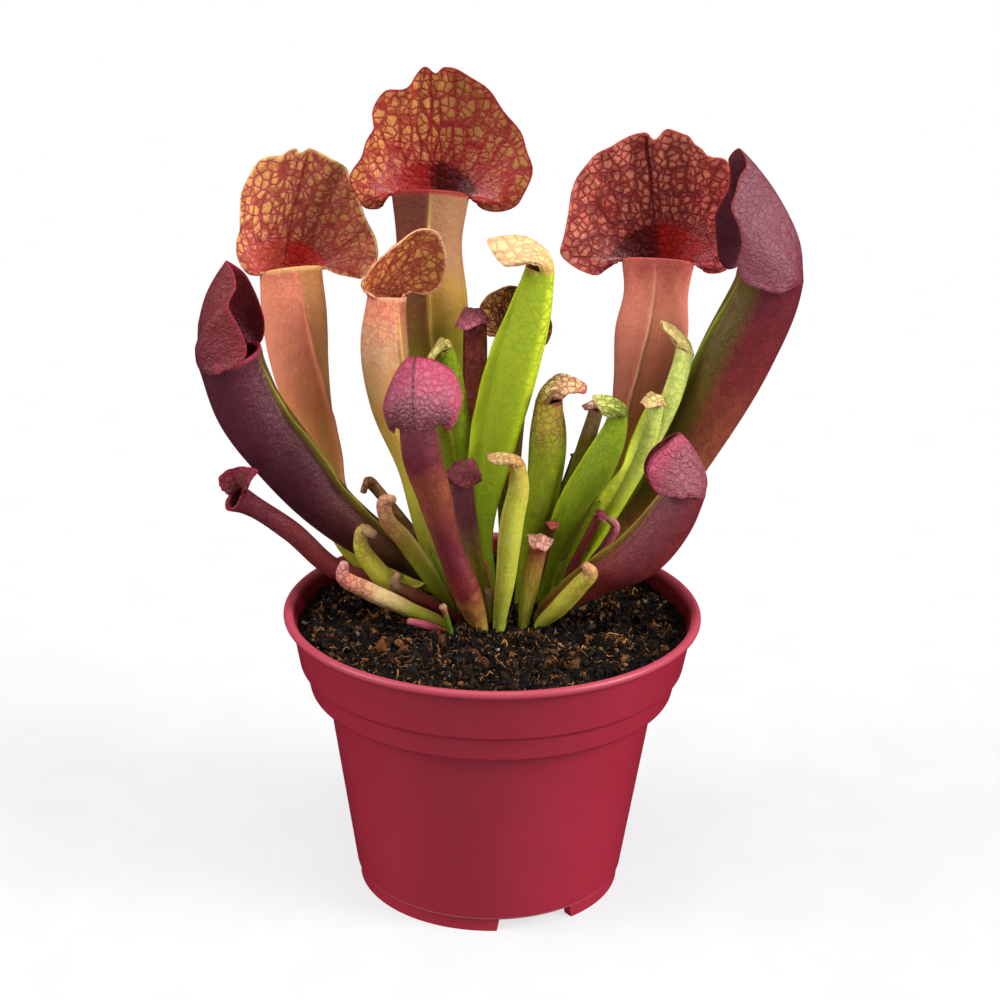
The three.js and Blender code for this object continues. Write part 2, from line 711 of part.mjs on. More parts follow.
  leaf_short_cap: {
    ...SMALL,
    color: 0x9a7a4a,
    face: -90,
    crest: 2.2,
    wing: 0,
    dome: 2.8,
    cap: { span: 3.5, reach: 3.8, drop: 0.7 },
    run: [[9, 0, 78, 1.6], [11, -1, 93, 2.7], [13, -2, 104.2, 2.5]],
  },
  leaf_green_hook: {
    ...SMALL,
    color: 0x7aa02c,
    face: 195,
    crest: 1.8,
    wing: 0.6,
    dome: 3.2,
    cap: { span: 2.9, reach: 5.6, drop: 2 },
    run: [[-3.5, 19.3, 78, 1.3], [-8, 18.5, 105, 1.9], [-9.6, 17.3, 131.3, 2.5],
      [-12.3, 16, 148.5, 2.7], [-14.6, 15, 156.6, 2.5]],
  },
  leaf_dried_brown: {
    ...SMALL,
    color: 0x7a4a28,
    face: 200,
    crest: 2,
    wing: 0,
    dome: 2,
    cap: { span: 2.9, reach: 4.2, drop: 0.9 },
    run: [[-8, 26, 77, 1.1], [-20, 26, 91, 1.5], [-30.5, 25, 105, 1.7], [-36.2, 24, 112.6, 1.7]],
  },
  leaf_dark_cap_right: {
    ...SMALL,
    color: 0x7a2a30,
    face: -30,
    crest: 2,
    wing: 0,
    dome: 1.6,
    cap: { span: 2.2, reach: 2.8, drop: 0.5 },
    run: [[18, 8.2, 79, 0.9], [22.5, 8, 91.9, 1.4], [27.3, 7.5, 103.3, 1.3], [30, 7, 109.7, 1.3]],
  },
  leaf_dark_cap_middle: {
    ...SMALL,
    color: 0x6a2028,
    face: -60,
    crest: 2,
    wing: 0,
    dome: 1.5,
    cap: { span: 2, reach: 2.4, drop: 0.4 },
    run: [[10.5, 7.5, 80, 0.9], [13.9, 6, 94, 1.2], [16.5, 5.6, 106.8, 1.3]],
  },
  leaf_small_cap_back: {
    ...SMALL,
    color: 0x9a6a4a,
    face: -40,
    crest: 2,
    wing: 0,
    dome: 1.5,
    cap: { span: 2.5, reach: 3, drop: 0.5 },
    run: [[11.8, 20.5, 78, 0.9], [17, 22.2, 101, 1.2], [23.6, 23, 121.9, 1.4]],
  },
  leaf_hook_short_left: {
    bud: true,
    color: 0x9a8a3c,
    face: 10,
    wing: 0.8,
    tubeRows: 10,
    run: [[-11, 5.8, 80, 1.2], [-17.5, 2, 90.3, 2], [-25.7, 1.5, 103.2, 2.3], [-31, 1.5, 110.8, 2],
      [-31, 1.5, 115.4, 1.9], [-28.8, 1, 116, 1.3]],
  },
  leaf_hook_left: {
    bud: true,
    color: 0x8fa03c,
    face: 20,
    wing: 0.7,
    tubeRows: 10,
    run: [[-14, 5.5, 80, 1.4], [-24, 2, 85.5, 2.3], [-34, 0, 95, 2.6], [-38, 0, 103, 2],
      [-37, 0, 107, 1.8],
      [-34, -1, 106, 1.2]],
  },
  leaf_lying_tan: {
    bud: true,
    color: 0xb5925a,
    face: 10,
    lift: 0.6,
    wing: 0.6,
    tubeRows: 8,
    run: [[-13, -1.2, 79.5, 1.3], [-25, -4.5, 84.8, 2.1], [-36, -7, 91.3, 2.4], [-42.5, -9, 97, 1.9],
      [-42, -9, 100, 1.3]],
  },
  leaf_purple_stalk: {
    bud: true,
    color: 0x8a3450,
    face: 0,
    lift: 1,
    wing: 0,
    tubeRows: 8,
    run: [[-8.3, 1.8, 79.5, 1.3], [-17, -0.6, 84.5, 1.6], [-24, -2.3, 88.9, 1.8], [-28, -3.2, 92.2, 1.5],
      [-27, -3.4, 94.6, 1.1]],
  },
  leaf_pink_bud: {
    bud: true,
    color: 0xb04a68,
    face: 0,
    lift: 1,
    wing: 0,
    tubeRows: 5,
    run: [[-12.5, -5.5, 78.5, 0.9], [-18.5, -7.5, 80.8, 1.3], [-23.5, -9.5, 83, 1]],
  },
  leaf_stalked_bud: {
    bud: true,
    color: 0x9a8a4a,
    face: -90,
    wing: 0,
    tubeRows: 6,
    run: [[-11, -9, 79, 0.7], [-12.5, -9.5, 82.5, 0.9], [-13.5, -10, 86.5, 0.8], [-14, -10.5, 88, 1.1]],
  },
  leaf_hook_low_right: {
    bud: true,
    color: 0xa0a044,
    face: 180,
    lift: 0.5,
    wing: 0.6,
    tubeRows: 8,
    run: [[13, -1.5, 80, 1.4], [20, -5.3, 87, 2.4], [25, -7.8, 94.5, 2.4], [27.5, -9.2, 99, 2],
      [26, -9.7, 101, 1.3]],
  },
  leaf_pink_hook: {
    bud: true,
    color: 0xb04a5a,
    face: 200,
    wing: 0,
    tubeRows: 9,
    run: [[20.5, 10.5, 79, 1], [27.5, 11, 92, 1.3], [33, 11, 100, 1.4], [35, 10.5, 106, 1.3],
      [33, 10, 108, 0.9]],
  },
  leaf_tiny_hook: {
    bud: true,
    color: 0xa8905a,
    face: 0,
    wing: 0,
    tubeRows: 5,
    run: [[-0.2, 0, 79, 0.7], [-0.8, -0.4, 84.5, 1], [-1.3, -0.8, 89, 1.1]],
  },
  leaf_orange_bud: {
    bud: true,
    color: 0xb07a3a,
    face: 0,
    wing: 0,
    tubeRows: 5,
    run: [[1.2, 5.8, 80, 0.8], [-1.2, 5.6, 89.3, 0.9], [-2.6, 5.5, 95.3, 1]],
  },
  blade_back: {
    bud: true,
    flat: 0.25,
    color: 0x6b4a2a,
    face: -90,
    tubeRows: 5,
    blunt: 3,
    run: [[6.2, 31, 75.5, 1.4], [11, 31.5, 97, 2.1], [14, 32, 120, 2.5]],
  },
  blade_right: {
    bud: true,
    flat: 0.25,
    color: 0x86b53a,
    face: -90,
    tubeRows: 5,
    blunt: 3,
    run: [[19.5, 12.4, 78, 1.3], [23.2, 11.8, 92.7, 2.3], [28.5, 11.1, 107.8, 1.9]],
  },
  blade_front_left: {
    bud: true,
    flat: 0.3,
    color: 0x6f9a2c,
    face: -90,
    tubeRows: 5,
    blunt: 3,
    run: [[-5, 4.5, 81, 1.1], [-12.5, 3, 90, 1.6], [-16.8, 2.5, 98.7, 1.1]],
  },
};

// A geometry as a solid for joining and cutting.
function toSolid(geometry) {
  const bare = geometry.clone();
  bare.deleteAttribute('normal');
  bare.deleteAttribute('uv');
  const merged = mergeVertices(bare, 1e-5);
  return new wasm.Manifold(new wasm.Mesh({
    numProp: 3,
    vertProperties: new Float32Array(merged.attributes.position.array),
    triVerts: new Uint32Array(merged.index.array),
  }));
}

// A solid as a geometry.
function toGeometry(solid) {
  const mesh = solid.getMesh();
  const geometry = new THREE.BufferGeometry();
  geometry.setAttribute('position', new THREE.Float32BufferAttribute(mesh.vertProperties, 3));
  geometry.setIndex(Array.from(mesh.triVerts));
  geometry.computeVertexNormals();
  return geometry;
}

// A lathed solid standing along Z, from profile points of radius and height.
function turned(points, sides) {
  const profile = points.map(([radius, height]) => new THREE.Vector2(radius, height));
  return new THREE.LatheGeometry(profile, sides).rotateX(Math.PI / 2);
}

// An upright cylinder between two heights.
function post(radius, bottom, top, sides, x, y) {
  const geometry = new THREE.CylinderGeometry(radius, radius, top - bottom, sides);
  return geometry.rotateX(Math.PI / 2).translate(x, y, (top + bottom) / 2);
}

// Pot: one profile turned round the axis, with foot segments joined on and drain holes cut out.
function potGeometry() {
  const outside = [
    [0, FOOT_HEIGHT],
    [BASE_RADIUS - 0.9, FOOT_HEIGHT],
    [BASE_RADIUS, FOOT_HEIGHT + 0.9],
    [47.6, BAND_FOOT.height - 1.6],
    [BAND_FOOT.radius - 0.8, BAND_FOOT.height - 0.6],
    [BAND_FOOT.radius, BAND_FOOT.height + 0.3],
    [53.9, BAND_STEP.height - 0.6],
    [BAND_STEP.radius, BAND_STEP.height + 0.2],
    [57.8, LIP_UNDERSIDE],
    [59.4, LIP_UNDERSIDE + 0.1],
    [RIM_RADIUS, LIP_UNDERSIDE + 0.8],
    [RIM_RADIUS, POT_HEIGHT - 0.9],
    [RIM_RADIUS - 0.5, POT_HEIGHT - 0.2],
    [RIM_RADIUS - 1.3, POT_HEIGHT],
  ];
  const inside = [
    [RIM_RADIUS - 2.5, POT_HEIGHT - 0.6],
    [56.7, LIP_UNDERSIDE],
    ...INNER_WALL,
    [0, FLOOR_TOP],
  ];
  let pot = toSolid(turned([...outside, ...inside], POT_SIDES));
  const { inner, outer, gaps, gapAngle } = FOOT_RING;
  const length = 120 - gapAngle;
  gaps.forEach((gap) => {
    const from = (gap + gapAngle / 2) * DEGREE;
    const shape = new THREE.Shape();
    shape.absarc(0, 0, outer, from, from + length * DEGREE, false);
    shape.absarc(0, 0, inner, from + length * DEGREE, from, true);
    const foot = new THREE.ExtrudeGeometry(shape, {
      depth: FOOT_HEIGHT + 0.6,
      bevelEnabled: false,
      curveSegments: 6,
    });
    pot = pot.add(toSolid(foot));
  });
  for (let i = 0; i < DRAIN.count; i += 1) {
    const angle = (TURN * i) / DRAIN.count;
    const x = DRAIN.circle * Math.cos(angle);
    const y = DRAIN.circle * Math.sin(angle);
    pot = pot.subtract(toSolid(post(DRAIN.radius, 0, FLOOR_TOP + 2, 8, x, y)));
  }
  return toGeometry(pot);
}

// Height of the soil at a place: a shallow dish with clods.
function soilHeight(x, y) {
  const distance = Math.hypot(x, y) / 53;
  const ripples = Math.sin(0.42 * x + 1.3) * Math.cos(0.37 * y - 0.6);
  const swells = 0.8 * Math.sin(0.23 * x - 0.31 * y + 2);
  return SOIL_EDGE + SOIL_MOUND * (1 - distance * distance) + SOIL_RELIEF * (ripples + swells);
}

// The filling of the pot, with the leaves' holes and the stem's chamber cut out.
function soilGeometry(holes, chamber) {
  const body = surface();
  const ringAt = (radius, height) => {
    const ring = [];
    for (let j = 0; j < SOIL_SIDES; j += 1) {
      const angle = (TURN * j) / SOIL_SIDES;
      const x = radius * Math.cos(angle);
      const y = radius * Math.sin(angle);
      ring.push(body.add(new THREE.Vector3(x, y, height ?? soilHeight(x, y))));
    }
    return ring;
  };
  const rings = SOIL_RINGS.map((radius) => ringAt(radius));
  rings.push(ringAt(56 - SOIL_CLEARANCE));
  INNER_WALL.forEach(([radius, height], i) => {
    const last = i === INNER_WALL.length - 1;
    rings.push(ringAt(radius - SOIL_CLEARANCE, height + (last ? SOIL_CLEARANCE : 0.3)));
  });
  const top = body.add(new THREE.Vector3(0, 0, soilHeight(0, 0)));
  const bottom = body.add(new THREE.Vector3(0, 0, FLOOR_TOP + SOIL_CLEARANCE));
  for (let j = 0; j < SOIL_SIDES; j += 1) {
    const k = (j + 1) % SOIL_SIDES;
    body.triangle(top, rings[0][j], rings[0][k]);
    body.triangle(bottom, rings[rings.length - 1][k], rings[rings.length - 1][j]);
    for (let i = 0; i < rings.length - 1; i += 1) {
      body.quad(rings[i][j], rings[i + 1][j], rings[i + 1][k], rings[i][k]);
    }
  }
  let soil = toSolid(body.geometry());
  holes.forEach((hole) => {
    soil = soil.subtract(hole);
  });
  return toGeometry(soil.subtract(chamber));
}

// The buried stem: a short thick rod lying under the crown with root stubs.
function rhizomeGeometry(growth) {
  const { left, right, y, z, radius } = RHIZOME;
  const length = right - left + 2 * growth;
  const rod = new THREE.CylinderGeometry(radius + growth, radius * 0.8 + growth, length, 10);
  rod.rotateZ(Math.PI / 2).translate((left + right) / 2, y, z);
  let solid = toSolid(rod);
  [left + 3, left + 10, left + 17].forEach((x, i) => {
    const root = new THREE.CylinderGeometry(1.4 + growth, 0.9 + growth, 14 + 2 * growth, 7);
    root.rotateX(Math.PI / 2 + (i - 1) * 0.35).translate(x, y + (i - 1) * 2, z - 8);
    solid = solid.add(toSolid(root));
  });
  return solid;
}

const plant = new THREE.Group();

function addPart(name, geometry, color, roughness) {
  const material = new THREE.MeshStandardMaterial({ color, roughness, metalness: 0 });
  const mesh = new THREE.Mesh(geometry, material);
  mesh.name = name;
  plant.add(mesh);
}

// The plain hole a leaf stands in: rings clear of its tube and fin, until they are out of the soil.
function leafHole(leaf) {
  const body = surface();
  const rings = [];
  let low = true;
  ringPlaces(leaf).forEach((s) => {
    if (!low) return;
    const frame = tubeFrame(leaf, s);
    const { centre } = frame;
    const reach = (frame.radius + HOLE_CLEARANCE) / Math.cos(Math.PI / HOLE_SIDES);
    const ring = [];
    for (let j = 0; j < HOLE_SIDES; j += 1) {
      const angle = (TURN * j) / HOLE_SIDES;
      const fin = j === HOLE_SIDES / 2 ? finHeight(leaf, s) : 0;
      const point = centre.clone();
      point.addScaledVector(frame.side, reach * Math.sin(angle));
      point.addScaledVector(frame.front, -(reach + fin) * Math.cos(angle));
      if (s === 0) point.z = HOLE_BOTTOM;
      ring.push(body.add(point));
    }
    rings.push(ring);
    low = centre.z - reach < soilHeight(centre.x, centre.y);
  });
  const first = rings[0];
  const last = rings[rings.length - 1];
  for (let j = 0; j < HOLE_SIDES; j += 1) {
    const k = (j + 1) % HOLE_SIDES;
    for (let i = 0; i < rings.length - 1; i += 1) {
      body.quad(rings[i][k], rings[i][j], rings[i + 1][j], rings[i + 1][k]);
    }
    if (j > 0 && k > 0) {
      body.triangle(first[0], first[j], first[k]);
      body.triangle(last[0], last[k], last[j]);
    }
  }
  return toSolid(body.geometry());
}

const holes = [];
Object.entries(LEAVES).forEach(([name, entry]) => {
  const leaf = { ...entry, run: buriedRun(entry) };
  leaf.knots = chordKnots(leaf.run);
  leaf.hoodColumns = entry.margin ? entry.margin.length : entry.hoodColumns;
  holes.push(leafHole(leaf));
  const geometry = entry.bud ? budGeometry(leaf) : leafGeometry(leaf);
  addPart(name, geometry, entry.color, LEAF_ROUGHNESS);
});

addPart('pot', potGeometry(), 0x9c2c48, 0.42);
addPart('soil', soilGeometry(holes, rhizomeGeometry(RHIZOME.clearance)), 0x2a1c14, 0.95);
addPart('rhizome', toGeometry(rhizomeGeometry(0)), 0x7a5a3a, 0.8);

export default plant;
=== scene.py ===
import math

import bmesh
import bpy
import numpy as np
from mathutils import Matrix, Vector


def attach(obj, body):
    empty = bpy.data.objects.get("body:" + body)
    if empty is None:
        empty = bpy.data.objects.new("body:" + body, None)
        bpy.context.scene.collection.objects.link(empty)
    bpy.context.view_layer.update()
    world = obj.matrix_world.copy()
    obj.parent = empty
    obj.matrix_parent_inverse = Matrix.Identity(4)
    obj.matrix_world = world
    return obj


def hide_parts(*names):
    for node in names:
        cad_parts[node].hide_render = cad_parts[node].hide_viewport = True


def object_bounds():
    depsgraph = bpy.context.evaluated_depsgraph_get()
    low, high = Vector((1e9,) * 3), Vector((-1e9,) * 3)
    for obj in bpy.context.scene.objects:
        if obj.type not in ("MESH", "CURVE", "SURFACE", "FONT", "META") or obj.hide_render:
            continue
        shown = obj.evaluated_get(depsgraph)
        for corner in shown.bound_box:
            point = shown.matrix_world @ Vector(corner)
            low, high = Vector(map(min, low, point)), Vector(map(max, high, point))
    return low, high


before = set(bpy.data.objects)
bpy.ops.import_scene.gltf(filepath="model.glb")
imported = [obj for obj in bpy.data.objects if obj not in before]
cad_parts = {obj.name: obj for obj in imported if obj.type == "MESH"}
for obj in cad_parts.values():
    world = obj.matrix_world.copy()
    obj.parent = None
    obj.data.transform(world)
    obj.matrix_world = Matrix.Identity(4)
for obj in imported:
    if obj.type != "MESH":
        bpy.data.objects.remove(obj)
CAD_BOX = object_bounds()

MM = 0.001
BODY = "root"
random = np.random.default_rng(7)

# Camera
CAMERA_PITCH = 19.84
CAMERA_ROLL = 0.0165
CAMERA_TARGET = (1.676, 0, 116.71)
CAMERA_DISTANCE = 600
CAMERA_LENS = 76.27

# Studio: each sun has its azimuth from the camera, elevation, power and spread in degrees.
FLOOR_RADIUS = 12
FLOOR_SIDES = 72
FLOOR_GLOW = 0.7
SKY = 0.3
SKY_HORIZON = 0.8
SKY_TOP_FROM = 0.3
SUNS = (
    ("sun_top", -20, 75, 1.7, 40),
    ("sun_right", 72, 30, 4.2, 30),
    ("sun_left", -78, 32, 2.3, 30),
)

# Pot
POT_SEGMENTS = 180
POT_HEIGHT = 84.6
RIM_RADIUS = 60
FOOT_HEIGHT = 3.6
BASE_RADIUS = 39.3
FLOOR_TOP = 5.2
BAND_FOOT_RADIUS = 52.6
BAND_FOOT_HEIGHT = 61.1
BAND_STEP_RADIUS = 55.4
BAND_STEP_HEIGHT = 68.5
LIP_UNDERSIDE = 82
# The pot's inner wall below the lip, from the top down: radius and height.
INNER_WALL = ((54.1, 69.6), (52.5, 68.8), (51.2, 62.2), (46.4, 60.8), (37.9, FLOOR_TOP))
FOOT_INNER = 35.4
FOOT_OUTER = 38.4
FOOT_GAPS = (-68.4, 51.6, 171.6)
FOOT_GAP_ANGLE = 32.5
DRAIN_COUNT = 6
DRAIN_CIRCLE = 27
DRAIN_RADIUS = 3.5

# Soil
SOIL_EDGE = 79.2
SOIL_MOUND = -0.9
SOIL_RELIEF = 0.7
SOIL_RADIUS = 55.45
SOIL_CLEARANCE = 0.55
SOIL_RINGS = 104
SOIL_SPOKES = 260
CRUMB_COUNT = 6500
CHIP_COUNT = 420
FIBRE_COUNT = 2400
ROOT_COUNT = 110
GRAIN_COUNT = 40

# Leaves
HOOD_SPREAD = math.radians(100)
TUBE_WALL = 0.8
BURIED_END = 70
COLLAR_HEIGHT = 76
STALK_RADIUS = 2.2
FIN_FROM = 0.08
FIN_FOOT = 0.3
NOD_FROM = 0.8
TWIST_FROM = 0.5
RUFFLE_WAVES = 3
CAP_TURN = math.radians(112)
MARGIN_WAVES = 1.9
MARGIN_THICKNESS = 0.45
LIP_FROM = 0.965
CORNER_FROM = 0.84
CORNER_CUT = 0.4
CREASE = 0.5
PUCKER = 0.16
CREST = 0.3
# Half width in millimetres and share of the height, from the fin's foot to its top.
FIN_PROFILE = ((1.5, 0.0), (0.9, 0.07), (0.58, 0.22), (0.44, 0.5), (0.34, 0.8), (0.18, 1.0))

# Veins: bends in millimetres, and how much each pattern of cells is drawn out.
NET_BEND_SCALE = 300
NET_BEND = 1.3
NET_BELOW = 0.16
FINE_NET = 2.6
FLAT_SCALE = 1.2
NET_STRETCH = (1.0, 0.4, 1.0)
RAY_STRETCH = (0.5, 0.34, 1.0)
STREAK_STRETCH = (1.3, 0.5, 1.0)

# Fineness of a leaf by its size, with the depth of its hollow and the width of its lip.
LARGE = dict(
    hood_columns=97, front_columns=14, tube_rows=70, inner_rows=20, hood_rows=28, depth=0.3, lip=0.6,
)
MIDDLE = dict(
    hood_columns=61, front_columns=10, tube_rows=52, inner_rows=12, hood_rows=20, depth=0.25, lip=0.4,
)
SMALL = dict(
    hood_columns=45, front_columns=8, tube_rows=40, inner_rows=8, hood_rows=14, depth=0.15, lip=0.2,
)
BUD_SIDES = 28
BUD_ROWS = 56
BUD_TIP_ROWS = 6

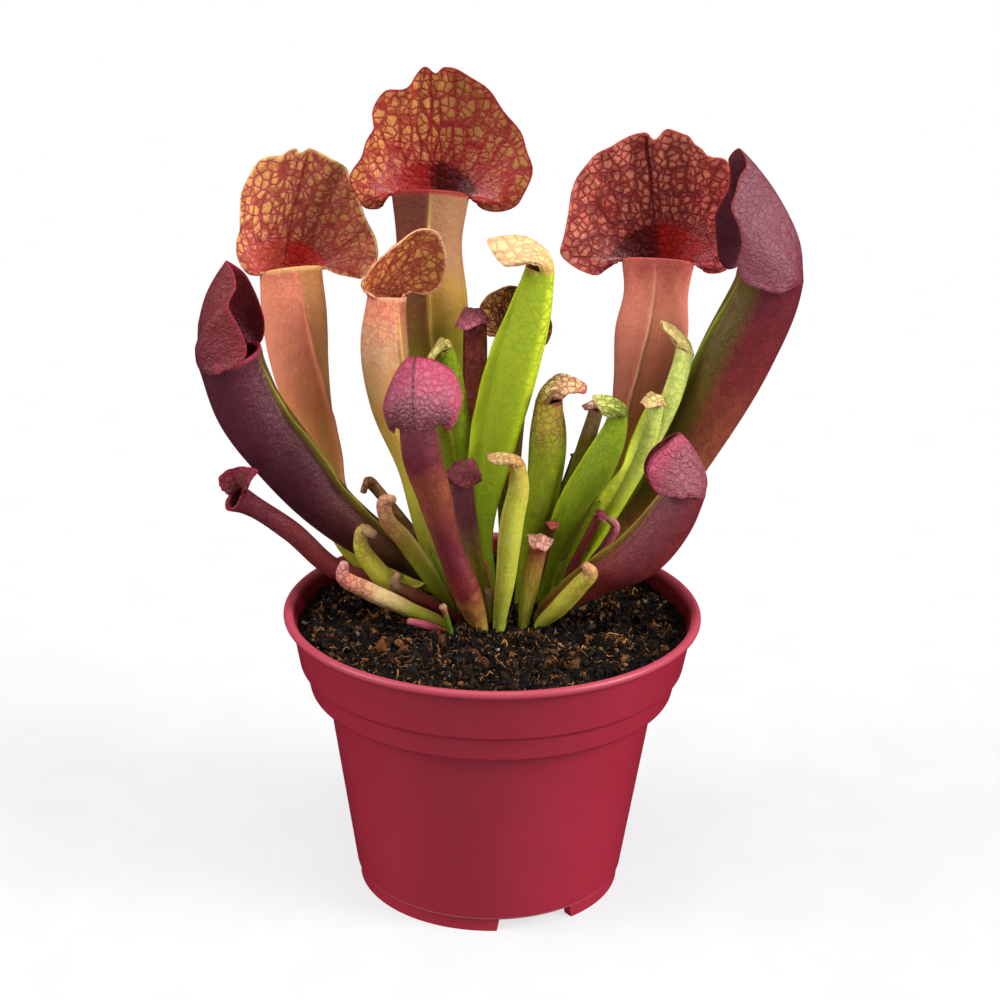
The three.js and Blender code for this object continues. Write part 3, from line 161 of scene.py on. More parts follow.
# Each run lists x, y, z and radius from the crown to the mouth; face is the direction the mouth looks.
LEAVES = {
    "leaf_hood_left": dict(
        **LARGE, face=-68, twist=45, nod=-8, wing=2.2, dome=3, wave=0.5,
        run=[[-11, 22, 78, 2.4], [-16.5, 23.5, 80, 2.5], [-29.5, 26.5, 81.3, 3.2], [-42, 30.5, 90, 4.3],
        [-49, 34.5, 103, 4.4], [-53, 38, 122, 5.2], [-58, 40, 142, 8.3], [-60, 42, 160, 9.6],
        [-61, 44, 171, 9.1]],
        margin=[[-72, 46, 169], [-75, 43, 173], [-76, 44, 182], [-75, 46, 192], [-72, 48, 201],
        [-67, 49, 204], [-63, 50, 204.5], [-60, 50, 206.5], [-58, 50, 205], [-55.5, 50, 206.5],
        [-50, 50, 204], [-45, 50, 201], [-43, 49, 197], [-40, 47, 190], [-37, 45, 183], [-35, 43, 178],
        [-37.5, 43, 172.5], [-41, 45, 169], [-48, 46.5, 169.5]],
    ),
    "leaf_hood_centre": dict(
        **LARGE, face=-90, nod=-10, wing=1.6, dome=3, wave=0.5,
        run=[[-4, 30, 74, 3], [-8, 34, 98, 4.2], [-12, 36, 123, 5.7], [-17, 38, 144, 9.2],
        [-19.6, 39.8, 164, 10.8], [-20.2, 42, 182, 9.6], [-20, 44, 194, 11.2]],
        margin=[[-34, 48, 188], [-40, 45, 191], [-43, 44, 199], [-40, 46, 206], [-37, 48, 212],
        [-37, 50, 217], [-34, 52, 223], [-28, 53, 223.5], [-25, 54, 227], [-22, 54, 230], [-19, 54, 228],
        [-16, 54, 230], [-10, 54, 228], [-4, 53, 224], [2, 51, 217], [7, 48, 210], [9, 45, 203],
        [7.5, 45, 195], [2, 46, 190], [-6, 48, 189]],
    ),
    "leaf_hood_right": dict(
        **LARGE, face=-96, twist=-18, nod=-8, wing=1.6, dome=3, wave=0.5,
        run=[[11, 30, 75, 2.8], [24, 38, 92, 3.8], [38, 40, 119, 4.8], [43, 41, 139, 8.3],
        [45.7, 42.6, 155, 10.8], [46.7, 44.6, 167, 9.5], [47, 46, 175, 10.6]],
        margin=[[33.6, 48.5, 172.4], [29.1, 47.5, 170.9], [25.6, 46.5, 171.9], [21.1, 45.5, 174.4],
        [18.1, 44.5, 179.4], [20.1, 45.5, 186.4], [20.1, 46.5, 191.4], [23.1, 48.5, 200.4],
        [27.1, 49.5, 205.4], [32.1, 50.5, 208.4], [38.1, 51.5, 211.4], [42.1, 51.5, 212.4],
        [45.1, 51.5, 210.4], [48.1, 51.5, 213.4], [53.1, 51.5, 212.4], [56.1, 50.5, 210.4],
        [58.1, 49.5, 208.4], [61.1, 48.5, 206.4], [66.1, 47.5, 204.4], [69.1, 46.5, 193.4],
        [69.1, 45.5, 182.4], [67.1, 46.5, 173.4], [61.1, 48.5, 170.9]],
    ),
    "leaf_maroon_left": dict(
        **LARGE, face=-20, wing=3, dome=4.5, crest=0.1,
        run=[[-7, 16, 78, 2.6], [-25, 17, 91.5, 4.6], [-38, 15.5, 99.7, 6.4], [-50, 13.5, 111, 7.8],
        [-60, 11.5, 124.5, 9.2], [-70, 9.5, 140, 9.6], [-75, 8, 155, 9]],
        margin=[[-78, -2, 158], [-76, -2.5, 155], [-73, -2.5, 155], [-70, -2, 157], [-69, -1.5, 160],
        [-71, -1, 166], [-74, 0, 172], [-72, 2, 177], [-73, 4, 181], [-75, 7, 183], [-72, 11, 180],
        [-70, 13, 177], [-68, 15, 172], [-67, 17, 168], [-66, 18, 163], [-66.5, 18.5, 158],
        [-69, 18.5, 155], [-72, 18.5, 156]],
    ),
    "leaf_maroon_right": dict(
        **LARGE, face=198, wing=2.4, dome=5, crest=0.1,
        run=[[10, 25, 75, 2.6], [29, 28, 88.5, 4.5], [47, 29, 106.5, 6.6], [59.5, 26, 131.5, 9.3],
        [69.5, 23, 155.5, 10.6], [76.2, 20, 174, 9.7], [77.2, 19, 179, 9.2]],
        margin=[[70.3, 30, 178], [66.3, 30.5, 177], [63.3, 30, 180], [62.3, 30, 185], [61.3, 28, 193],
        [62.3, 26, 197], [64.3, 24, 202], [64.3, 23, 207], [63.8, 22, 211], [66.3, 20, 214],
        [68.3, 17, 210], [66.3, 15, 207], [65.3, 13, 203], [64.3, 11, 199], [66.3, 10, 194],
        [67.3, 9, 189], [66.3, 8.5, 184], [67.3, 8, 180], [70.3, 7.5, 178], [74.3, 7.5, 178.5],
        [77.3, 8, 182]],
    ),
    "leaf_purple_low_right": dict(
        **MIDDLE, face=190, lift=0.5, wing=2.4, dome=3,
        run=[[14, 3, 80, 2.4], [29, 0, 92.4, 4.8], [42, -4, 102.4, 6.6], [50, -6, 114.4, 6.5],
        [54, -6, 123.4, 5.6]],
        margin=[[49, 1, 121.4], [44, 1, 122.4], [42, 0, 127.4], [44, -2, 133.4], [48.8, -3.2, 137.8],
        [51.2, -6, 139.6], [48.8, -9, 138.4], [44, -11, 134.4], [42, -12, 130.4], [43, -12, 126.4],
        [46, -12.5, 123.4], [51, -12.5, 123.4]],
    ),
    "leaf_pink_front": dict(
        **MIDDLE, face=84, dome=3.5, crest=0.5,
        run=[[-3, -3, 77, 2.4], [-7, -5, 89, 4], [-13, -8, 107, 3.8], [-17, -11, 123, 4.9],
        [-20, -13, 134, 5.4], [-21, -14, 143, 5.2]],
        margin=[[-15, -13, 141.5], [-12, -12, 141.5], [-10, -10, 145], [-9, -9, 150], [-11, -8, 156],
        [-15, -8, 159], [-20, -8, 160.5], [-24, -7, 160], [-27, -7, 157], [-29, -8, 153], [-30, -9, 148],
        [-29, -10, 143], [-28, -12, 140], [-26.5, -13.5, 142]],
    ),
    "leaf_orange_left": dict(
        **MIDDLE, face=-50, twist=20, wing=2.2, dome=2.5, crest=0.5,
        run=[[-7.5, 9, 81, 1.9], [-15, 7.7, 89.5, 2.4], [-20, 9.5, 103.5, 2.8], [-24, 12, 121.5, 3.8],
        [-30, 15.5, 141, 6.2], [-32, 18, 157, 6.8], [-31.5, 20, 170, 5.4]],
        margin=[[-37, 15, 172.5], [-38, 14, 175], [-36, 13, 179], [-33, 13, 183], [-28, 14, 187],
        [-25, 17, 189], [-21, 20, 190], [-17, 23, 188], [-15, 25, 182], [-15, 26, 176], [-17, 26, 171.5],
        [-21, 25.5, 169.5], [-26, 25.5, 171]],
    ),
    "leaf_lime_tall": dict(
        **MIDDLE, face=190, wing=4, dome=5.4, crest=1.4,
        run=[[0, 14, 78, 2.1], [-3, 15, 102, 2.9], [1, 15, 127, 4.8], [6, 15, 151, 6], [10, 15, 168, 5.3],
        [12, 15, 180, 4]],
        margin=[[8.5, 20, 182.5], [3.5, 20, 182.5], [0, 19, 185], [-2, 16, 188.5], [-3, 13, 188],
        [-0.5, 11, 184.5], [2, 10, 182], [4.5, 10, 182], [8.5, 10, 182.5]],
    ),
    "leaf_dark_small_left": dict(
        **MIDDLE, face=205, lift=-1.5, dome=1, crest=0.4,
        run=[[-14, 9.3, 80, 1.5], [-28, 7.4, 86.5, 2], [-46, 4, 93.6, 2.9], [-58, 1.5, 105.8, 3.1],
        [-69, 0, 114, 3.2], [-73, -2, 117, 4]],
        margin=[[-78, 3, 118], [-78, 3, 121], [-75, 2, 124], [-70, -2, 126], [-66, -5, 126],
        [-68, -6, 124], [-69, -6, 122]],
    ),
    "leaf_netted_green": dict(
        **MIDDLE, face=-10, wing=1, dome=4.4, crest=2.4,
        run=[[8, 14, 78, 1.8], [11, 14, 98, 3], [14, 14, 118, 4.6], [15, 14, 134, 4.9],
        [15, 14, 142, 3.7]],
        margin=[[18.5, 8, 143.5], [20, 7, 146], [23, 8, 146.5], [25.5, 10, 146], [25.5, 13, 147.5],
        [23, 17, 147.5], [21, 19.5, 145], [18, 19.5, 143]],
    ),
    "leaf_green_curled": dict(
        **MIDDLE, face=190, wing=1.4, dome=2.6, crest=1,
        run=[[15, 11.5, 79, 1.5], [17.5, 11, 94.5, 2], [23, 10, 111.5, 3.8], [30, 9.5, 124.5, 4.6],
        [34, 9.5, 134.7, 3.5], [35, 9.5, 139.7, 2.6]],
        margin=[[31.5, 13, 138.7], [30, 13, 140.7], [28, 12, 143.2], [27.5, 10, 145.2], [28, 8, 144.2],
        [29.5, 6.5, 141.7], [31.5, 6.5, 139.2]],
    ),
    "leaf_yellow_tall": dict(
        **MIDDLE, face=200, wing=0.6, dome=1.6, crest=1,
        run=[[18.2, 20, 77.5, 1.4], [31, 21.3, 98.6, 2], [44, 18.5, 126.2, 2.5], [50.5, 17.3, 143.3, 2.9],
        [54, 19.5, 155.5, 2.6]],
        margin=[[51.5, 23, 155.9], [50, 23, 158.4], [47, 22.5, 162.4], [47, 20.5, 164.4], [48, 18, 162.4],
        [51, 17, 159.4], [53, 17, 156.9]],
    ),
    "leaf_pale_front": dict(
        **MIDDLE, face=188, wing=0.6, dome=1.8, crest=1.2,
        run=[[2, -3, 78, 1.7], [4, -4, 95, 2.6], [5.5, -5, 113, 3.1], [7, -5, 123, 2.8],
        [6.5, -5, 129, 2.2]],
        margin=[[3.5, -2.5, 129.5], [1, -2.5, 129.5], [-1, -3.5, 130.5], [-2, -5.5, 132],
        [-1.5, -7.5, 131], [0.5, -8, 130], [3.5, -7.5, 129.5]],
    ),
    "leaf_netted_brown": dict(
        **MIDDLE, face=-90, dome=2, crest=0.4,
        run=[[4, 36, 74, 1.5], [4, 36, 98, 2.8], [4, 36, 126, 4.4], [5, 37, 146, 5], [5, 38, 154, 5.2]],
        margin=[[-2.5, 35, 154.5], [-5, 35, 159], [-5, 35, 164], [-3, 36, 167], [0, 37, 168.5],
        [4, 38, 169.5], [9, 38, 168], [13, 37, 164], [16, 36, 159], [15, 36, 153], [12, 37, 152]],
    ),
    "leaf_ruffled": dict(
        **SMALL, face=205, crest=2.2, ruffle=1, wing=4.2, dome=2.8, cap=dict(span=4, reach=4.6, drop=1),
        run=[[22, 17, 79, 1.4], [28.3, 15.5, 98.4, 2], [37.7, 14.2, 115.8, 2.5], [43.8, 12.6, 132, 2.6],
        [45.6, 12.2, 142.1, 2.4]],
    ),
    "leaf_hook_behind_curled": dict(
        **SMALL, face=195, crest=2, wing=0.6, dome=2.4, cap=dict(span=2.6, reach=4.6, drop=0.8),
        run=[[12.5, 16.7, 79, 1.2], [18.8, 17, 102.5, 1.8], [26, 17, 127, 2.3], [29, 16.8, 138.8, 2.1]],
    ),
    "leaf_brown_cap": dict(
        **SMALL, face=215, crest=2.2, dome=4.4, cap=dict(span=5.2, reach=6.2, drop=1.6),
        run=[[0, 22.5, 76, 1.5], [-4, 22.8, 104, 2.5], [-5.8, 23, 134, 3.2], [-6.2, 23, 155, 3.5],
        [-6.2, 23, 162.3, 3.3]],
    ),
    "leaf_purple_cap": dict(
        **SMALL, face=-40, crest=2.4, dome=5, cap=dict(span=5.8, reach=6, drop=1.4),
        run=[[-1.8, 3.6, 81, 1.4], [-5.5, 2.6, 99, 2.4], [-8.4, 2, 114, 3.2], [-9.4, 1, 122.8, 3.4]],
    ),
    "leaf_short_cap": dict(
        **SMALL, face=-90, crest=2.2, dome=2.8, cap=dict(span=3.5, reach=3.8, drop=0.7),
        run=[[9, 0, 78, 1.6], [11, -1, 93, 2.7], [13, -2, 104.2, 2.5]],
    ),
    "leaf_green_hook": dict(
        **SMALL, face=195, crest=1.8, wing=0.6, dome=3.2, cap=dict(span=2.9, reach=5.6, drop=2),
        run=[[-3.5, 19.3, 78, 1.3], [-8, 18.5, 105, 1.9], [-9.6, 17.3, 131.3, 2.5],
        [-12.3, 16, 148.5, 2.7], [-14.6, 15, 156.6, 2.5]],
    ),
    "leaf_dried_brown": dict(
        **SMALL, face=200, crest=2, dome=2, cap=dict(span=2.9, reach=4.2, drop=0.9),
        run=[[-8, 26, 77, 1.1], [-20, 26, 91, 1.5], [-30.5, 25, 105, 1.7], [-36.2, 24, 112.6, 1.7]],
    ),
    "leaf_dark_cap_right": dict(
        **SMALL, face=-30, crest=2, dome=1.6, cap=dict(span=2.2, reach=2.8, drop=0.5),
        run=[[18, 8.2, 79, 0.9], [22.5, 8, 91.9, 1.4], [27.3, 7.5, 103.3, 1.3], [30, 7, 109.7, 1.3]],
    ),
    "leaf_dark_cap_middle": dict(
        **SMALL, face=-60, crest=2, dome=1.5, cap=dict(span=2, reach=2.4, drop=0.4),
        run=[[10.5, 7.5, 80, 0.9], [13.9, 6, 94, 1.2], [16.5, 5.6, 106.8, 1.3]],
    ),
    "leaf_small_cap_back": dict(
        **SMALL, face=-40, crest=2, dome=1.5, cap=dict(span=2.5, reach=3, drop=0.5),
        run=[[11.8, 20.5, 78, 0.9], [17, 22.2, 101, 1.2], [23.6, 23, 121.9, 1.4]],
    ),
    "leaf_hook_short_left": dict(
        bud=True, face=10, wing=0.8, tubeRows=10,
        run=[[-11, 5.8, 80, 1.2], [-17.5, 2, 90.3, 2], [-25.7, 1.5, 103.2, 2.3], [-31, 1.5, 110.8, 2],
        [-31, 1.5, 115.4, 1.9], [-28.8, 1, 116, 1.3]],
    ),
    "leaf_hook_left": dict(
        bud=True, face=20, wing=0.7, tubeRows=10,
        run=[[-14, 5.5, 80, 1.4], [-24, 2, 85.5, 2.3], [-34, 0, 95, 2.6], [-38, 0, 103, 2],
        [-37, 0, 107, 1.8], [-34, -1, 106, 1.2]],
    ),
    "leaf_lying_tan": dict(
        bud=True, face=10, lift=0.6, wing=0.6, tubeRows=8,
        run=[[-13, -1.2, 79.5, 1.3], [-25, -4.5, 84.8, 2.1], [-36, -7, 91.3, 2.4], [-42.5, -9, 97, 1.9],
        [-42, -9, 100, 1.3]],
    ),
    "leaf_purple_stalk": dict(
        bud=True, face=0, lift=1, tubeRows=8,
        run=[[-8.3, 1.8, 79.5, 1.3], [-17, -0.6, 84.5, 1.6], [-24, -2.3, 88.9, 1.8],
        [-28, -3.2, 92.2, 1.5], [-27, -3.4, 94.6, 1.1]],
    ),
    "leaf_pink_bud": dict(
        bud=True, face=0, lift=1, tubeRows=5,
        run=[[-12.5, -5.5, 78.5, 0.9], [-18.5, -7.5, 80.8, 1.3], [-23.5, -9.5, 83, 1]],
    ),
    "leaf_stalked_bud": dict(
        bud=True, face=-90, tubeRows=6,
        run=[[-11, -9, 79, 0.7], [-12.5, -9.5, 82.5, 0.9], [-13.5, -10, 86.5, 0.8],
        [-14, -10.5, 88, 1.1]],
    ),
    "leaf_hook_low_right": dict(
        bud=True, face=180, lift=0.5, wing=0.6, tubeRows=8,
        run=[[13, -1.5, 80, 1.4], [20, -5.3, 87, 2.4], [25, -7.8, 94.5, 2.4], [27.5, -9.2, 99, 2],
        [26, -9.7, 101, 1.3]],
    ),
    "leaf_pink_hook": dict(
        bud=True, face=200, tubeRows=9,
        run=[[20.5, 10.5, 79, 1], [27.5, 11, 92, 1.3], [33, 11, 100, 1.4], [35, 10.5, 106, 1.3],
        [33, 10, 108, 0.9]],
    ),
    "leaf_tiny_hook": dict(
        bud=True, face=0, tubeRows=5,
        run=[[-0.2, 0, 79, 0.7], [-0.8, -0.4, 84.5, 1], [-1.3, -0.8, 89, 1.1]],
    ),
    "leaf_orange_bud": dict(
        bud=True, face=0, tubeRows=5,
        run=[[1.2, 5.8, 80, 0.8], [-1.2, 5.6, 89.3, 0.9], [-2.6, 5.5, 95.3, 1]],
    ),
    "blade_back": dict(
        bud=True, flat=0.25, face=-90, tubeRows=5, blunt=3,
        run=[[6.2, 31, 75.5, 1.4], [11, 31.5, 97, 2.1], [14, 32, 120, 2.5]],
    ),
    "blade_right": dict(
        bud=True, flat=0.25, face=-90, tubeRows=5, blunt=3,
        run=[[19.5, 12.4, 78, 1.3], [23.2, 11.8, 92.7, 2.3], [28.5, 11.1, 107.8, 1.9]],
    ),
    "blade_front_left": dict(
        bud=True, flat=0.3, face=-90, tubeRows=5, blunt=3,
        run=[[-5, 4.5, 81, 1.1], [-12.5, 3, 90, 1.6], [-16.8, 2.5, 98.7, 1.1]],
    ),
}


def smooth(value, low=0.0, high=1.0):
    """0 below low, 1 above high, with a soft step between."""
    u = np.clip((np.asarray(value, float) - low) / (high - low), 0, 1)
    return u * u * (3 - 2 * u)


def unit(vectors):
    return vectors / np.maximum(np.linalg.norm(vectors, axis=-1, keepdims=True), 1e-9)


def inside_box(points):
    """Points in millimetres, kept inside the box of the CAD part."""
    low, high = (np.array(corner) / MM for corner in CAD_BOX)
    return np.clip(points, low, high)


def curve_at(knots, values, s):
    """Smooth curve through values at knots, with slopes from the parabola through each three."""
    steps = np.diff(values, axis=0) / np.diff(knots)[:, None]
    before = np.diff(knots)[:-1, None]
    after = np.diff(knots)[1:, None]
    middle = (steps[:-1] * after + steps[1:] * before) / (before + after)
    rates = np.vstack([steps[:1], middle, steps[-1:]])
    s = np.atleast_1d(s)
    i = np.clip(np.searchsorted(knots, s, side="right") - 1, 0, len(knots) - 2)
    h = (knots[i + 1] - knots[i])[:, None]
    u = (s[:, None] - knots[i][:, None]) / h
    square = u * u
    cube = square * u
    low = (2 * cube - 3 * square + 1) * values[i] + (cube - 2 * square + u) * h * rates[i]
    high = (3 * square - 2 * cube) * values[i + 1] + (cube - square) * h * rates[i + 1]
    return low + high


class Leaf:
    """A leaf's run with its end in the soil, and the frame of its tube at any place."""

    def __init__(self, shape):
        self.shape = shape
        x, y, z, radius = shape["run"][0]
        stalk = min(radius, STALK_RADIUS)
        collar = min(z - 2, COLLAR_HEIGHT)
        buried = [[x, y, BURIED_END, stalk], [x, y, (BURIED_END + collar) / 2, stalk], [x, y, collar, stalk]]
        self.run = np.array(buried + shape["run"][1:], float)
        lengths = np.linalg.norm(np.diff(self.run[:, :3], axis=0), axis=1)
        self.length = lengths.sum()
        self.knots = np.concatenate([[0], np.cumsum(lengths)]) / self.length

    def get(self, name, default=0):
        return self.shape.get(name, default)

    def frames(self, s):
        """Centre, along, front, side and radius of the tube at each s."""
        s = np.atleast_1d(np.asarray(s, float))
        step = 0.002
        values = curve_at(self.knots, self.run, s)
        ahead = curve_at(self.knots, self.run, np.minimum(s + step, 1))
        behind = curve_at(self.knots, self.run, np.maximum(s - step, 0))
        along = unit((ahead - behind)[:, :3])
        face = np.radians(self.shape["face"] + self.get("twist") * (1 - smooth(s, TWIST_FROM, 1)))
        facing = np.stack([np.cos(face), np.sin(face), np.full(len(s), float(self.get("lift")))], axis=1)
        front = unit(facing - np.sum(along * facing, axis=1)[:, None] * along)
        side = np.cross(along, front)
        nod = (math.radians(self.get("nod")) * smooth(s, NOD_FROM, 1))[:, None]
        tipped = along * np.cos(nod) + front * np.sin(nod)
        level = front * np.cos(nod) - along * np.sin(nod)
        return values[:, :3], tipped, level, side, values[:, 3]

    def fin_height(self, s):
        u = np.clip((np.asarray(s, float) - FIN_FROM) / (1 - FIN_FROM), 0, 1)
        return self.get("wing") * np.sin(math.pi * u) ** 0.8


class Skin:
    """Points, faces and the named places on them of one closed leaf."""

    def __init__(self):
        self.points = []
        self.place = []
        self.trim = []
        self.quads = []
        self.triangles = []
        self.count = 0

    def add(self, points, along, across, inside, ridge=0.0, edge=0.0, distance=0.0):
        """Adds points, with where they are: along the leaf, across it, inside, on a ridge or edge."""
        shape = points.shape[:-1]
        fields = [np.broadcast_to(f, shape).ravel() for f in (along, across, inside, ridge, edge, distance)]
        index = self.count + np.arange(int(np.prod(shape))).reshape(shape)
        self.points.append(points.reshape(-1, 3))
        self.place.append(np.stack(fields[:3], axis=1))
        self.trim.append(np.stack(fields[3:], axis=1))
        self.count += index.size
        return index

    def band(self, index, closed=False, flip=False):
        """Faces between the rows of a grid of points."""
        right = np.roll(index, -1, axis=1) if closed else index[:, 1:]
        left = index if closed else index[:, :-1]
        faces = np.stack([right[:-1], left[:-1], left[1:], right[1:]], axis=-1).reshape(-1, 4)
        self.quads.append(faces[:, ::-1] if flip else faces)

    def fan(self, centre, ring, flip=False):
        """Faces from one point to a closed ring."""
        after = np.roll(ring, -1)
        faces = np.stack([np.full_like(ring, centre), ring, after], axis=-1)
        self.triangles.append(faces[:, ::-1] if flip else faces)

    def build(self, name):
        points = inside_box(np.vstack(self.points)) * MM
        faces = np.vstack(self.quads).tolist()
        if self.triangles:
            faces += np.vstack(self.triangles).tolist()
        mesh = bpy.data.meshes.new(name)
        mesh.from_pydata(points.tolist(), [], faces)
        for label, rows in (("place", self.place), ("trim", self.trim)):
            attribute = mesh.attributes.new(label, "FLOAT_VECTOR", "POINT")
            attribute.data.foreach_set("vector", np.vstack(rows).astype(np.float32).ravel())
        mesh.shade_smooth()
        return add_object(name, mesh)


def add_object(name, mesh):
    piece = bpy.data.objects.new(name, mesh)
    bpy.context.scene.collection.objects.link(piece)
    return piece


def tube_columns(shape):
    """Angles round a tube, with each fin column's half width and share of the fin's height."""
    hood = np.linspace(-HOOD_SPREAD, HOOD_SPREAD, shape["hood_columns"])
    half = shape["front_columns"] // 2
    reach = math.pi - FIN_FOOT - HOOD_SPREAD
    right = HOOD_SPREAD + reach * np.arange(1, half + 1) / half
    angles = np.concatenate([hood, right, np.full(2 * len(FIN_PROFILE), math.pi), -right[::-1]])
    widths = np.zeros(len(angles))
    heights = np.zeros(len(angles))
    first = len(hood) + half
    profile = np.array(FIN_PROFILE)
    widths[first:first + len(profile)] = profile[:, 0]
    heights[first:first + len(profile)] = profile[:, 1]
    widths[first + len(profile):first + 2 * len(profile)] = -profile[::-1, 0]
    heights[first + len(profile):first + 2 * len(profile)] = profile[::-1, 1]
    return angles, widths, heights


def tube_points(leaf, s, columns, inset=0.0, fin=True):
    """Rings of the tube's wall, one for each s; inset is how far inside its outer face they lie."""
    angles, widths, heights = columns
    centre, _, front, side, radius = (part[:, None] for part in leaf.frames(s))
    radius = np.maximum(radius - np.atleast_2d(inset), 0.35)
    is_fin = widths != 0
    depth_share = np.abs(widths) / FIN_PROFILE[0][0]
    swing = np.where(is_fin, math.pi - FIN_FOOT * 0.8 * depth_share, np.abs(angles))
    swing = swing * np.where(is_fin, np.sign(widths), np.where(angles == 0, 1, np.sign(angles)))
    lateral = np.minimum(np.abs(widths), np.abs(radius * math.sin(FIN_FOOT) * 0.85)) * np.sign(widths)
    x = np.where(is_fin, lateral, radius * np.sin(swing))
    y = np.where(is_fin, np.sqrt(np.maximum(radius ** 2 - lateral ** 2, 0)), -radius * np.cos(swing))
    if fin:
        s = np.atleast_1d(s)[:, None]
        height = leaf.fin_height(s) * heights
        ripple = np.sin(s * leaf.length / 2.7) * np.sin(s * leaf.length / 9.1 + 1) * 0.22
        waves = np.sin(2 * math.pi * RUFFLE_WAVES * s)
        sway = leaf.get("ruffle") * waves * np.minimum(leaf.fin_height(s), 1)
        y = y + height
        x = x + ripple * height * heights + sway * heights
    return centre + side * x[..., None] + front * y[..., None]


def hood_margin(leaf, mouth, across):
    """The hood's margin at each place across it, from -1 to 1."""
    if "margin" in leaf.shape:
        margin = np.array(leaf.shape["margin"], float)
        knots = np.linspace(-1, 1, len(margin))
        return curve_at(knots, margin, across)
    centre, along, front, side, _ = (part[0] for part in mouth)
    cap = leaf.shape["cap"]
    angle = (CAP_TURN * across)[:, None]
    rise = 0.9 - cap["drop"] * np.cos(angle) + 0.3 * np.cos(5 * angle)
    return centre + side * cap["span"] * np.sin(angle) + front * cap["reach"] * np.cos(angle) + along * rise


def hood_sheet(leaf, mouth, rim, across, rows):
    """Outer face of the hood: ribs from the rim to the margin, bulged, creased at the keel and waved."""
    _, along, front, side, _ = (part[0] for part in mouth)
    edge = hood_margin(leaf, mouth, across)
    count = len(leaf.shape.get("margin", ()))
    angle = (HOOD_SPREAD * across)[:, None]
    out = unit(side * np.sin(angle) - front * np.cos(angle) + along * leaf.get("crest", CREST))
    last = np.clip((np.abs(across) - CORNER_FROM) / (1 - CORNER_FROM), 0, 1)
    corner = 1 - CORNER_CUT * (1 - np.sqrt(1 - last ** 2))
    t = (np.arange(1, rows + 1) / rows)[:, None] * corner
    rise = 4 * t * (1 - t)
    bulge = leaf.get("dome") * (1 - 0.6 * across ** 2) * rise
    crease = CREASE * np.exp(-np.abs(across) / 0.1) * (0.25 + 0.75 * rise) * smooth(t, 0, 0.15)
    wave = leaf.get("wave") * t ** 2 * np.sin(count * MARGIN_WAVES * across)
    pucker = PUCKER * np.sin(17 * across + 3 * t) * np.sin(9 * t + 7 * across) * smooth(t, 0, 0.3)
    offset = (bulge + crease + wave + pucker)[..., None]
    return rim + (edge - rim) * t[..., None] + out[None] * offset


def sheet_normals(rows):
    """Normals of a sheet of points, pointing out of the hood's hollow."""
    up = np.gradient(rows, axis=0)
    over = np.gradient(rows, axis=1)
    return unit(np.cross(up, over))


def rolled_edge(skin, outer, inner, bulge, places):
    """Closes the strip between the two faces with a rounded edge; bulge is which way it stands out."""
    points = np.vstack(skin.points)
    p = points[outer]
    q = points[inner]
    for _ in range(4):
        bulge = unit(bulge + np.roll(bulge, 1, axis=0) + np.roll(bulge, -1, axis=0))
    middle = (p + q) / 2
    half = np.linalg.norm(p - q, axis=1, keepdims=True) / 2
    rows = [outer]
    for k in range(1, 4):
        turn = math.pi * k / 4
        ring = middle + (p - middle) * math.cos(turn) + bulge * half * math.sin(turn)
        rows.append(skin.add(ring, places[0], places[1], k / 4, 0.0, places[2], places[3]))
    rows.append(inner)
    skin.band(np.stack(rows), closed=True)


